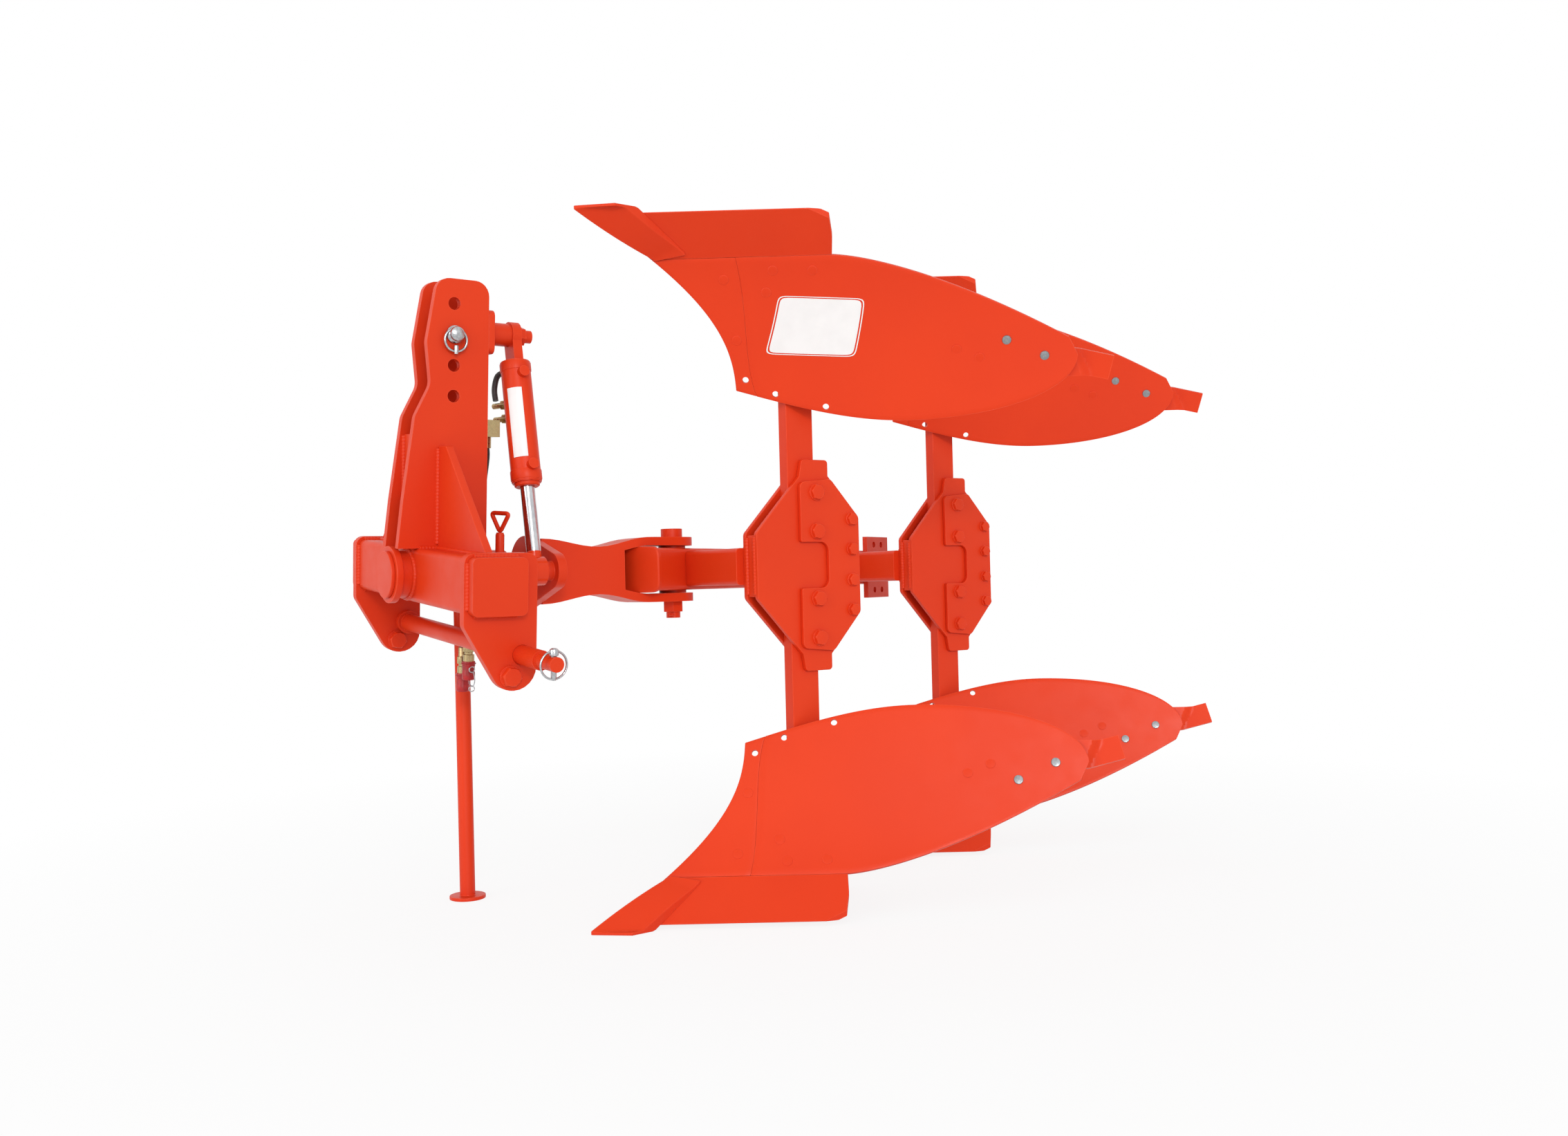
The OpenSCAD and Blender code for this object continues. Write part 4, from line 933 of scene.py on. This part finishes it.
LEG_BOLT = 0.030
LEG_BOLT_X = -0.024
LEG_BOLT_Z = (0.158, 0.073, -0.073, -0.158)
SIDE_BOLT = 0.024
SIDE_BOLT_X = -0.118
SIDE_BOLT_Z = (0.100, 0.034, -0.034, -0.100)
HEAD_TALL = 0.011
NUT_TALL = 0.018
to_left = np.array([0.0, 1.0, 0.0])
hanger_parts = []
for i in (0, 1):
    for across, x, heights in ((LEG_BOLT, LEG_BOLT_X, LEG_BOLT_Z), (SIDE_BOLT, SIDE_BOLT_X, SIDE_BOLT_Z)):
        for z in heights:
            head_at = on_leg(i, [x, HANGER_Y + COVER_T, z])
            nut_at = on_leg(i, [x, -HANGER_Y, z])
            hanger_parts.append(bolt_head(head_at, to_left, across, HEAD_TALL, across * 0.60))
            hanger_parts.append(bolt_head(nut_at, -to_left, across, NUT_TALL, across * 0.68))
hanger_bolts = make_piece("hanger_bolts", hanger_parts, orange_enamel, "beam")
STUB_HALF = 0.040
STUB_LEAD = 0.105
STUB_BACK = STUB_LEAD - STUB_HALF
STUB_FRONT = STUB_LEAD + STUB_HALF
STUB_IN = 0.008
STUB_FREE = 0.020
WEB_X = 0.124
WEB_Y = 0.015
WEB_HALF = 0.062
stub_seams = []
for z in (STUB_HALF, -STUB_HALF):
    stub_seams.append(([STUB_BACK + STUB_IN, -HANGER_Y, z], [STUB_FRONT - STUB_FREE, -HANGER_Y, z]))
for y in (WEB_Y, -WEB_Y):
    stub_seams.append(([WEB_X, y, -WEB_HALF], [WEB_X, y, WEB_HALF]))
stub_seams.append(([STUB_BACK, -HANGER_Y, STUB_HALF - STUB_IN], [STUB_BACK, -HANGER_Y, STUB_IN - STUB_HALF]))
stub_beads = make_piece("hanger_welds", [bead_along(*on_leg(i, s)) for i in (0, 1) for s in stub_seams],
                        orange_enamel, "beam", BEAD_SHARP)

# Bodies: share, shin, moldboard and tail strip of pressed wear steel on one leaning, twisting face; the
# upper set is the lower set turned over. All are drilled, bolted to the frog behind and sprayed as one.
TIP_BACK = 0.159
LAND_LEFT = 0.254
SHARE_TURN = 35.5
TWIST = 4.0
SHARE_H = 0.090
BOARD_H = 0.424
BOARD_LEN = 0.762
BOARD_TRIM = 0.008
BOARD_CROWDING = 1.4
BOARD_T = 0.008
FACE_LEAN = 0.420
LEAD_POWER = 0.566
LOWEST = 1e-4
CREST_S = 0.338
KEEL_S = 0.365
KEEL_POWER = 1.7
SHIN_TOP = BOARD_H - 0.073
TAIL_C = 0.270
SEAM_S = (0.175, 0.038)
SEAM_BOW = 1.45
SHIN_HOLLOW = 0.032


def face_lead(c):
    """How far back the face's landside edge stands at height c: the lean times a power of the height."""
    return FACE_LEAN * (np.maximum(c, LOWEST) / BOARD_H) ** LEAD_POWER


def face_slope(c):
    """How fast that edge goes back as the height grows: the power times its way back, over the height."""
    return LEAD_POWER * face_lead(c) / np.maximum(c, LOWEST)


def face_turn(c):
    """The face's angle to the way of travel at height c: the share's angle, and a twist above the share."""
    return np.radians(SHARE_TURN + TWIST * np.maximum(0.0, c - SHARE_H) / (BOARD_H - SHARE_H))


def face_at(s, c, depth):
    """The body's face: at height c it starts from its landside edge and runs along s at its angle; depth goes
    behind it along its normal."""
    w = face_turn(c)
    back = unit(np.stack([np.sin(w), -np.cos(w), -face_slope(c) * np.sin(w)], -1))
    front = np.stack([face_lead(c) + s * np.cos(w), s * np.sin(w), c + 0.0 * s], -1)
    return front + np.asarray(depth)[..., None] * back


def on_body(i, upper, local):
    """Places a body's points (behind the tip, left of the landside, above the ground) on the plough."""
    p = np.asarray(local, float)
    ahead_of_axis = -TIP_BACK - i * PITCH[0] - p[..., 0]
    left_of_axis = LAND_LEFT - i * PITCH[1] + p[..., 1]
    above_axis = (AXIS[2] - p[..., 2]) * (1.0 if upper else -1.0)
    return np.stack([ahead_of_axis, left_of_axis, above_axis], -1) + AXIS


def board_low(s):
    """Lower edge of the moldboard: level along the share, then rising to the tail."""
    past = np.maximum(0.0, s - KEEL_S) / (BOARD_LEN - KEEL_S)
    return SHARE_H + (TAIL_C - SHARE_H) * past ** KEEL_POWER


def board_high(s):
    """Upper edge of the moldboard: a quarter sine up from the shin, then a quarter ellipse down to the
    tail."""
    rise = SHIN_TOP + (BOARD_H - SHIN_TOP) * np.sin(np.pi / 2 * np.minimum(s, CREST_S) / CREST_S)
    past = np.clip((s - CREST_S) / (BOARD_LEN - CREST_S), 0.0, 1.0)
    return np.where(s <= CREST_S, rise, TAIL_C + (BOARD_H - TAIL_C) * np.sqrt(1.0 - past ** 2))


def board_faces(s, r):
    """Front and back of the moldboard's sheet at s along it and the share r of the way from its lower to its
    upper edge."""
    low = board_low(s)
    c = low + (board_high(s) - low) * r
    return face_at(s, c, 0.0), face_at(s, c, BOARD_T)


def two_sheets(i, faces):
    """The closed sheets of the lower and the upper body i, between a front and a back grid of points."""
    return [plate_shell(*(on_body(i, upper, face) for face in faces)) for upper in (False, True)]


BOARD_HOLES = [(0.032, 0.3295), (0.080, 0.3605), (0.174, 0.3900)]
HOLE_R = 0.0068
DRILL_REACH = 0.03
DRILL_PROFILE = [[0, -DRILL_REACH], [HOLE_R, -DRILL_REACH], [HOLE_R, DRILL_REACH], [0, DRILL_REACH]]


def face_axis(i, upper, s, c):
    """A place on a body's face and the way out of it."""
    at, inside = (on_body(i, upper, face_at(np.array(s), np.array(c), depth)) for depth in (0.0, 0.010))
    return at, unit(at - inside)


def drill(piece, i, holes):
    """Cuts round holes through the lower and upper sheets of a piece with drills that stand through them."""
    parts = []
    for upper in (False, True):
        for hole in holes:
            parts.append(turned(DRILL_PROFILE, *face_axis(i, upper, *hole), count=28))
    drills = make_object("drills", parts, orange_enamel, SHARP_DEG)
    cut = piece.modifiers.new("holes", "BOOLEAN")
    cut.operation = "DIFFERENCE"
    cut.object = drills
    cut.solver = "EXACT"
    bpy.context.view_layer.update()
    depsgraph = bpy.context.evaluated_depsgraph_get()
    drilled = bpy.data.meshes.new_from_object(piece.evaluated_get(depsgraph))
    piece.modifiers.clear()
    piece.data = drilled
    bpy.data.objects.remove(drills)
    drilled.set_sharp_from_angle(angle=math.radians(SHARP_DEG))


board_r = np.linspace(0.0, 1.0, 29)[:, None]
board_t = np.linspace(0.0, 1.0, 61)[None, :]
shin_t = np.linspace(0.0, 1.0, 13)[None, :]
seam_line = SEAM_S[1] + (SEAM_S[0] - SEAM_S[1]) * (1.0 - board_r) ** SEAM_BOW
shin_lead = SHIN_HOLLOW * np.sin(np.pi * board_r)
board_s = seam_line + (BOARD_LEN - BOARD_TRIM - seam_line) * (1.0 - (1.0 - board_t) ** BOARD_CROWDING)
shin_s = shin_lead + (seam_line - shin_lead) * shin_t
for i, end in enumerate(("front", "rear")):
    boards = make_piece(f"{end}_moldboards_pressed", two_sheets(i, board_faces(board_s, board_r)),
                        orange_enamel, "beam")
    shins = make_piece(f"{end}_shins_pressed", two_sheets(i, board_faces(shin_s, board_r)),
                       orange_enamel, "beam")
    for piece in (boards, shins):
        round_edges(piece, "round_rim", width=0.0016, turn=50.0)
    drill(shins, i, BOARD_HOLES[:1])
    drill(boards, i, BOARD_HOLES[1:])
    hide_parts(f"{end}_moldboards")
    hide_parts(f"{end}_shins")

# Tail strips: flat bars bolted behind each moldboard's tail, joggled back at its edge and set up a little so
# that they lengthen the turn of the furrow slice; their ends are sheared square.
TAIL_S = (0.650, 0.828)
TAIL_CUT = 0.036
TAIL_EDGE = 0.744
TAIL_LOW = 0.288
TAIL_W = 0.058
TAIL_RISE = 0.24
TAIL_SET = 0.0084
TAIL_SHARP = 20.0
JOGGLE = 0.013
JOGGLE_AT = [TAIL_EDGE, TAIL_EDGE + 0.018, TAIL_S[1]]
JOGGLE_SHARE = [0.0, 1.0, 0.35]
tail_u = np.linspace(0.0, 1.0, 45)[None, :]
tail_v = np.linspace(0.0, 1.0, 7)[:, None]
tail_s = TAIL_S[0] + (TAIL_S[1] - TAIL_CUT * tail_v - TAIL_S[0]) * tail_u
tail_c = TAIL_LOW + TAIL_RISE * np.maximum(0.0, tail_s - TAIL_EDGE) + TAIL_W * tail_v
tail_back = TAIL_SET + JOGGLE * np.interp(tail_s, JOGGLE_AT, JOGGLE_SHARE)
tail_faces = [face_at(tail_s, tail_c, tail_back + depth) for depth in (0.0, BOARD_T)]
for i, end in enumerate(("front", "rear")):
    tails = make_piece(f"{end}_tails_joggled", two_sheets(i, tail_faces), orange_enamel, "beam", TAIL_SHARP)
    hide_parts(f"{end}_tails")

# Shares: flat forged blades drawn to an edge below and cut across at the rear corner. On each lies a bar
# point, a nearly straight wedge-nosed bar that reaches the ground ahead of the edge. Behind, the landside
# is a flat bar that bears on the furrow's wall.
SHARE_T = 0.012
SHARE_EDGE = (0.0115, 0.0095)
SHARE_GROUND = 0.028
SHARE_BLADE = 0.032
SHARE_ENDS = ([SHARE_EDGE[0], SHARE_GROUND, 0.060, SHARE_H], [0.426, 0.448, 0.414, 0.376])
share_levels = [np.linspace(SHARE_EDGE[0], SHARE_GROUND, 9), np.linspace(SHARE_BLADE, SHARE_H, 15)]
share_c = np.concatenate(share_levels)[:, None]
share_s = np.interp(share_c, *SHARE_ENDS) * np.linspace(0.0, 1.0, 41)[None, :]
SHARE_FOOT = face_lead(SHARE_EDGE[0])
SHARE_SLOPE = (SHARE_H - SHARE_EDGE[0]) / (face_lead(SHARE_H) - SHARE_FOOT)


def share_side(under):
    """The share's face, straight from its edge to its top, or its underside straight below it, which stops
    where the edge is ground."""
    points = face_at(share_s, share_c, 0.0)
    points[..., 0] += SHARE_FOOT + (share_c - SHARE_EDGE[0]) / SHARE_SLOPE - face_lead(share_c)
    if under:
        points[..., 2] = np.maximum(SHARE_EDGE[1], points[..., 2] - SHARE_T)
    return points


share_faces = [share_side(under) for under in (False, True)]
for i, end in enumerate(("front", "rear")):
    shares = make_piece(f"{end}_shares_forged", two_sheets(i, share_faces), orange_enamel, "beam")
    round_edges(shares, "round_rim", width=0.0008, turn=50.0)
    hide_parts(f"{end}_shares")
POINT_NOSE = -0.019
POINT_END = (0.172, 0.158)
POINT_W = 0.058
POINT_TAPER = (0.006, 0.008)
POINT_TOP = 0.008
POINT_RISE = 0.60
POINT_DROOP = 0.62
POINT_FALL = 0.007
POINT_THIN = (0.004, 0.006)
point_t = np.linspace(0.0, 1.0, 25)[:, None]
point_q = np.linspace(0.0, 1.0, 9)[None, :]
point_len = POINT_END[0] + (POINT_END[1] - POINT_END[0] - POINT_NOSE) * point_q
point_run = POINT_NOSE * point_q + point_len * point_t
point_b = POINT_TAPER[0] * point_t + (POINT_W - (POINT_TAPER[0] + POINT_TAPER[1]) * point_t) * point_q


def point_side(under):
    """The bar's underside, which lies on the share and on the ground ahead of it, or its slightly crowned
    top: a rise along the bar less a droop with its square, and a fall across it."""
    z = np.maximum(0.0, SHARE_EDGE[0] + SHARE_SLOPE * (point_run - SHARE_FOOT))
    if not under:
        crown = POINT_TOP + POINT_RISE * point_run - POINT_DROOP * point_run ** 2 - POINT_FALL * point_q
        z = np.maximum(np.maximum(crown, POINT_THIN[0]), z + POINT_THIN[1])
    return np.stack([point_run + point_b / math.tan(math.radians(SHARE_TURN)), point_b, z], -1)


point_faces = [point_side(under) for under in (False, True)]
for i, end in enumerate(("front", "rear")):
    points = make_piece(f"{end}_points_forged", two_sheets(i, point_faces), orange_enamel, "beam")
    round_edges(points, "round_rim", width=0.0012, turn=40.0)
    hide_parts(f"{end}_points")
coat(["front_landsides", "rear_landsides"], orange_enamel, edge=0.002)

# Frogs: steel castings behind each body, with a seat that follows the face and a rib back to the leg; their
# nose is cast back so that it stays behind the hollow edge of the shin.
FROG_UNDER = SHARE_H - SHARE_T
FROG_LEVELS = np.concatenate([np.linspace(0.012, FROG_UNDER, 6), np.linspace(0.095, 0.300, 18)])
FROG_GAP = 0.0014
FROG_CLEAR = 0.0008
FROG_SEAT = 0.024
FROG_WIDE = ([0.150, 0.300], [0.150, 0.064])
FROG_HEEL = ([0.0, 0.130], [0.476, 0.546])
RIB = (0.005, 0.021)
NOSE_BACK = 0.008
NOSE_CUT = 0.010


def frog_front(b, z):
    """How far behind the tip the frog's front lies, b left of the landside and at height z: just behind the
    share's underside, and above it behind the boards' thickness."""
    w = face_turn(z)
    under = z <= FROG_UNDER + TOUCHING
    behind = (BOARD_T + FROG_GAP) * np.sqrt(1.0 + (face_slope(z) * np.sin(w)) ** 2) / np.sin(w)
    lead = face_lead(np.where(under, z + SHARE_T, z))
    return b / np.tan(w) + lead + np.where(under, FROG_CLEAR, behind)


def frog_rings(z):
    """Level sections of the frog, one for each height z: nose, wide end of the seat, and the rib's four
    sides."""
    wide = np.interp(z, *FROG_WIDE)
    heel = np.interp(z, *FROG_HEEL)
    hollow = SHIN_HOLLOW * np.sin(np.pi * np.clip((z - SHARE_H) / (SHIN_TOP - SHARE_H), 0.0, 1.0))
    nose = np.maximum(RIB[0], (hollow + NOSE_BACK) * math.sin(math.radians(SHARE_TURN)))
    ways = [(frog_front(nose, z), nose), (frog_front(wide, z), wide), (frog_front(wide, z) + FROG_SEAT, wide),
            (frog_front(RIB[1], z) + FROG_SEAT, RIB[1]), (heel, RIB[1]), (heel, RIB[0]),
            (frog_front(nose, z) + NOSE_CUT, RIB[0])]
    return np.stack([np.stack([x, y + 0.0 * z, z], -1) for x, y in ways], 1)


frog_rows = frog_rings(FROG_LEVELS)
for i, end in enumerate(("front", "rear")):
    frog_parts = []
    for upper in (False, True):
        rings = on_body(i, upper, frog_rows)
        frog_parts.append((rings.reshape(-1, 3), grid_quads(len(rings), rings.shape[1], True)))
        for ring in (rings[0], rings[-1]):
            frog_parts.append((ring, np.arange(len(ring))[None, :]))
    frogs = make_piece(f"{end}_frogs_cast", frog_parts, orange_enamel, "beam")
    round_edges(frogs, "round_rim", width=0.002, turn=35.0)
    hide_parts(f"{end}_frogs")

# Plough bolts: square-necked bolts whose flat round heads lie flush in the face and are sprayed over;
# the two at the tail strip are left in bare zinc, and all have nuts behind the sheet.
FLUSH_AT = [(0.115, 0.131), (0.230, 0.116), (0.311, 0.118), (0.184, 0.157), (0.508, 0.282), (0.547, 0.300),
            (0.060, 0.249)]
FLUSH_PROFILE = [[0, -0.002], [0.0105, -0.002], [0.0105, 0.0003], [0.0098, 0.0009], [0.0060, 0.0011],
                 [0, 0.0012]]
FLUSH_NUT = {"across": 0.018, "tall": 0.012, "washer": 0.0125}
FLUSH_NUT_IN = BOARD_T - 0.0005
ZINC_AT = [(0.622, 0.266), (0.684, 0.300)]
ZINC_PROFILE = [[0, -0.002], [0.0100, -0.002], [0.0100, 0.0004], [0.0092, 0.0016], [0.0055, 0.0021],
                [0, 0.0022]]
ZINC_NUT = {"across": 0.018, "tall": 0.011, "washer": 0.0125}
ZINC_NUT_IN = 2 * BOARD_T + 0.001
ZINC_GREY = (0.36, 0.375, 0.385)
ZINC_BLOOM = (0.24, 0.25, 0.26)
zinc_plate = plated("zinc_plate", ZINC_GREY, ZINC_BLOOM, low=0.34, high=0.50)


def face_bolts(places, profile, nut, nut_in):
    """A round head in the face and a nut nut_in behind it, at each place of all four bodies."""
    parts = []
    for i in (0, 1):
        for upper in (False, True):
            for s, c in places:
                at, way = face_axis(i, upper, s, c)
                parts.append(turned(profile, at, way, count=28))
                parts.append(bolt_head(at - way * nut_in, -way, **nut))
    return parts


painted_bolts = make_piece("plough_bolts", face_bolts(FLUSH_AT, FLUSH_PROFILE, FLUSH_NUT, FLUSH_NUT_IN),
                           orange_enamel, "beam")
tail_bolts = make_piece("tail_bolts", face_bolts(ZINC_AT, ZINC_PROFILE, ZINC_NUT, ZINC_NUT_IN),
                        zinc_plate, "beam")

# Blank decal: a plain white vinyl patch with round corners on the upper front moldboard, cut with a thin
# line round its field and stuck on the face.
DECAL = np.array([[0.205, 0.1643], [0.378, 0.1749], [0.288, 0.2894], [0.104, 0.2777]])
DECAL_POWER = 14.0
DECAL_FIELD = 0.95
DECAL_LINE = (0.985, 1.01)
DECAL_LIFT = (0.0002, 0.0007)
DECAL_RIM = [(DECAL_LINE[0], DECAL_LIFT[1]), (DECAL_LINE[1], DECAL_LIFT[1]), (DECAL_LINE[1], DECAL_LIFT[0]),
             (DECAL_LINE[0], DECAL_LIFT[0]), (DECAL_LINE[0], DECAL_LIFT[1])]


def decal_place(share, turn, lift):
    """A place on the decal: share of the way out to the rim of a square with round corners at a turn, laid on
    the four corners by straight mixing and lifted off."""
    x, y = square_rim(turn, DECAL_POWER)
    u = (1.0 + share * x)[..., None] / 2.0
    v = (1.0 + share * y)[..., None] / 2.0
    upper_edge = DECAL[0] + (DECAL[1] - DECAL[0]) * u
    lower_edge = DECAL[3] + (DECAL[2] - DECAL[3]) * u
    place = upper_edge + (lower_edge - upper_edge) * v
    return on_body(0, True, face_at(place[..., 0], place[..., 1], -lift))


cell_x, cell_y = np.meshgrid(np.linspace(-1.0, 1.0, 36), np.linspace(-1.0, 1.0, 36))
cell_out = np.maximum(np.abs(cell_x), np.abs(cell_y)) * DECAL_FIELD
cell_turn = np.arctan2(cell_y, cell_x)
rim_turn = np.linspace(0.0, 2.0 * np.pi, 144, endpoint=False)
rim_rows = np.concatenate([decal_place(share, rim_turn, lift) for share, lift in DECAL_RIM])
make_piece(
    "moldboard_blank_decal",
    [plate_shell(*(decal_place(cell_out, cell_turn, lift) for lift in DECAL_LIFT[::-1])),
     (rim_rows, grid_quads(len(DECAL_RIM), len(rim_turn), True))],
    white_vinyl, "beam")
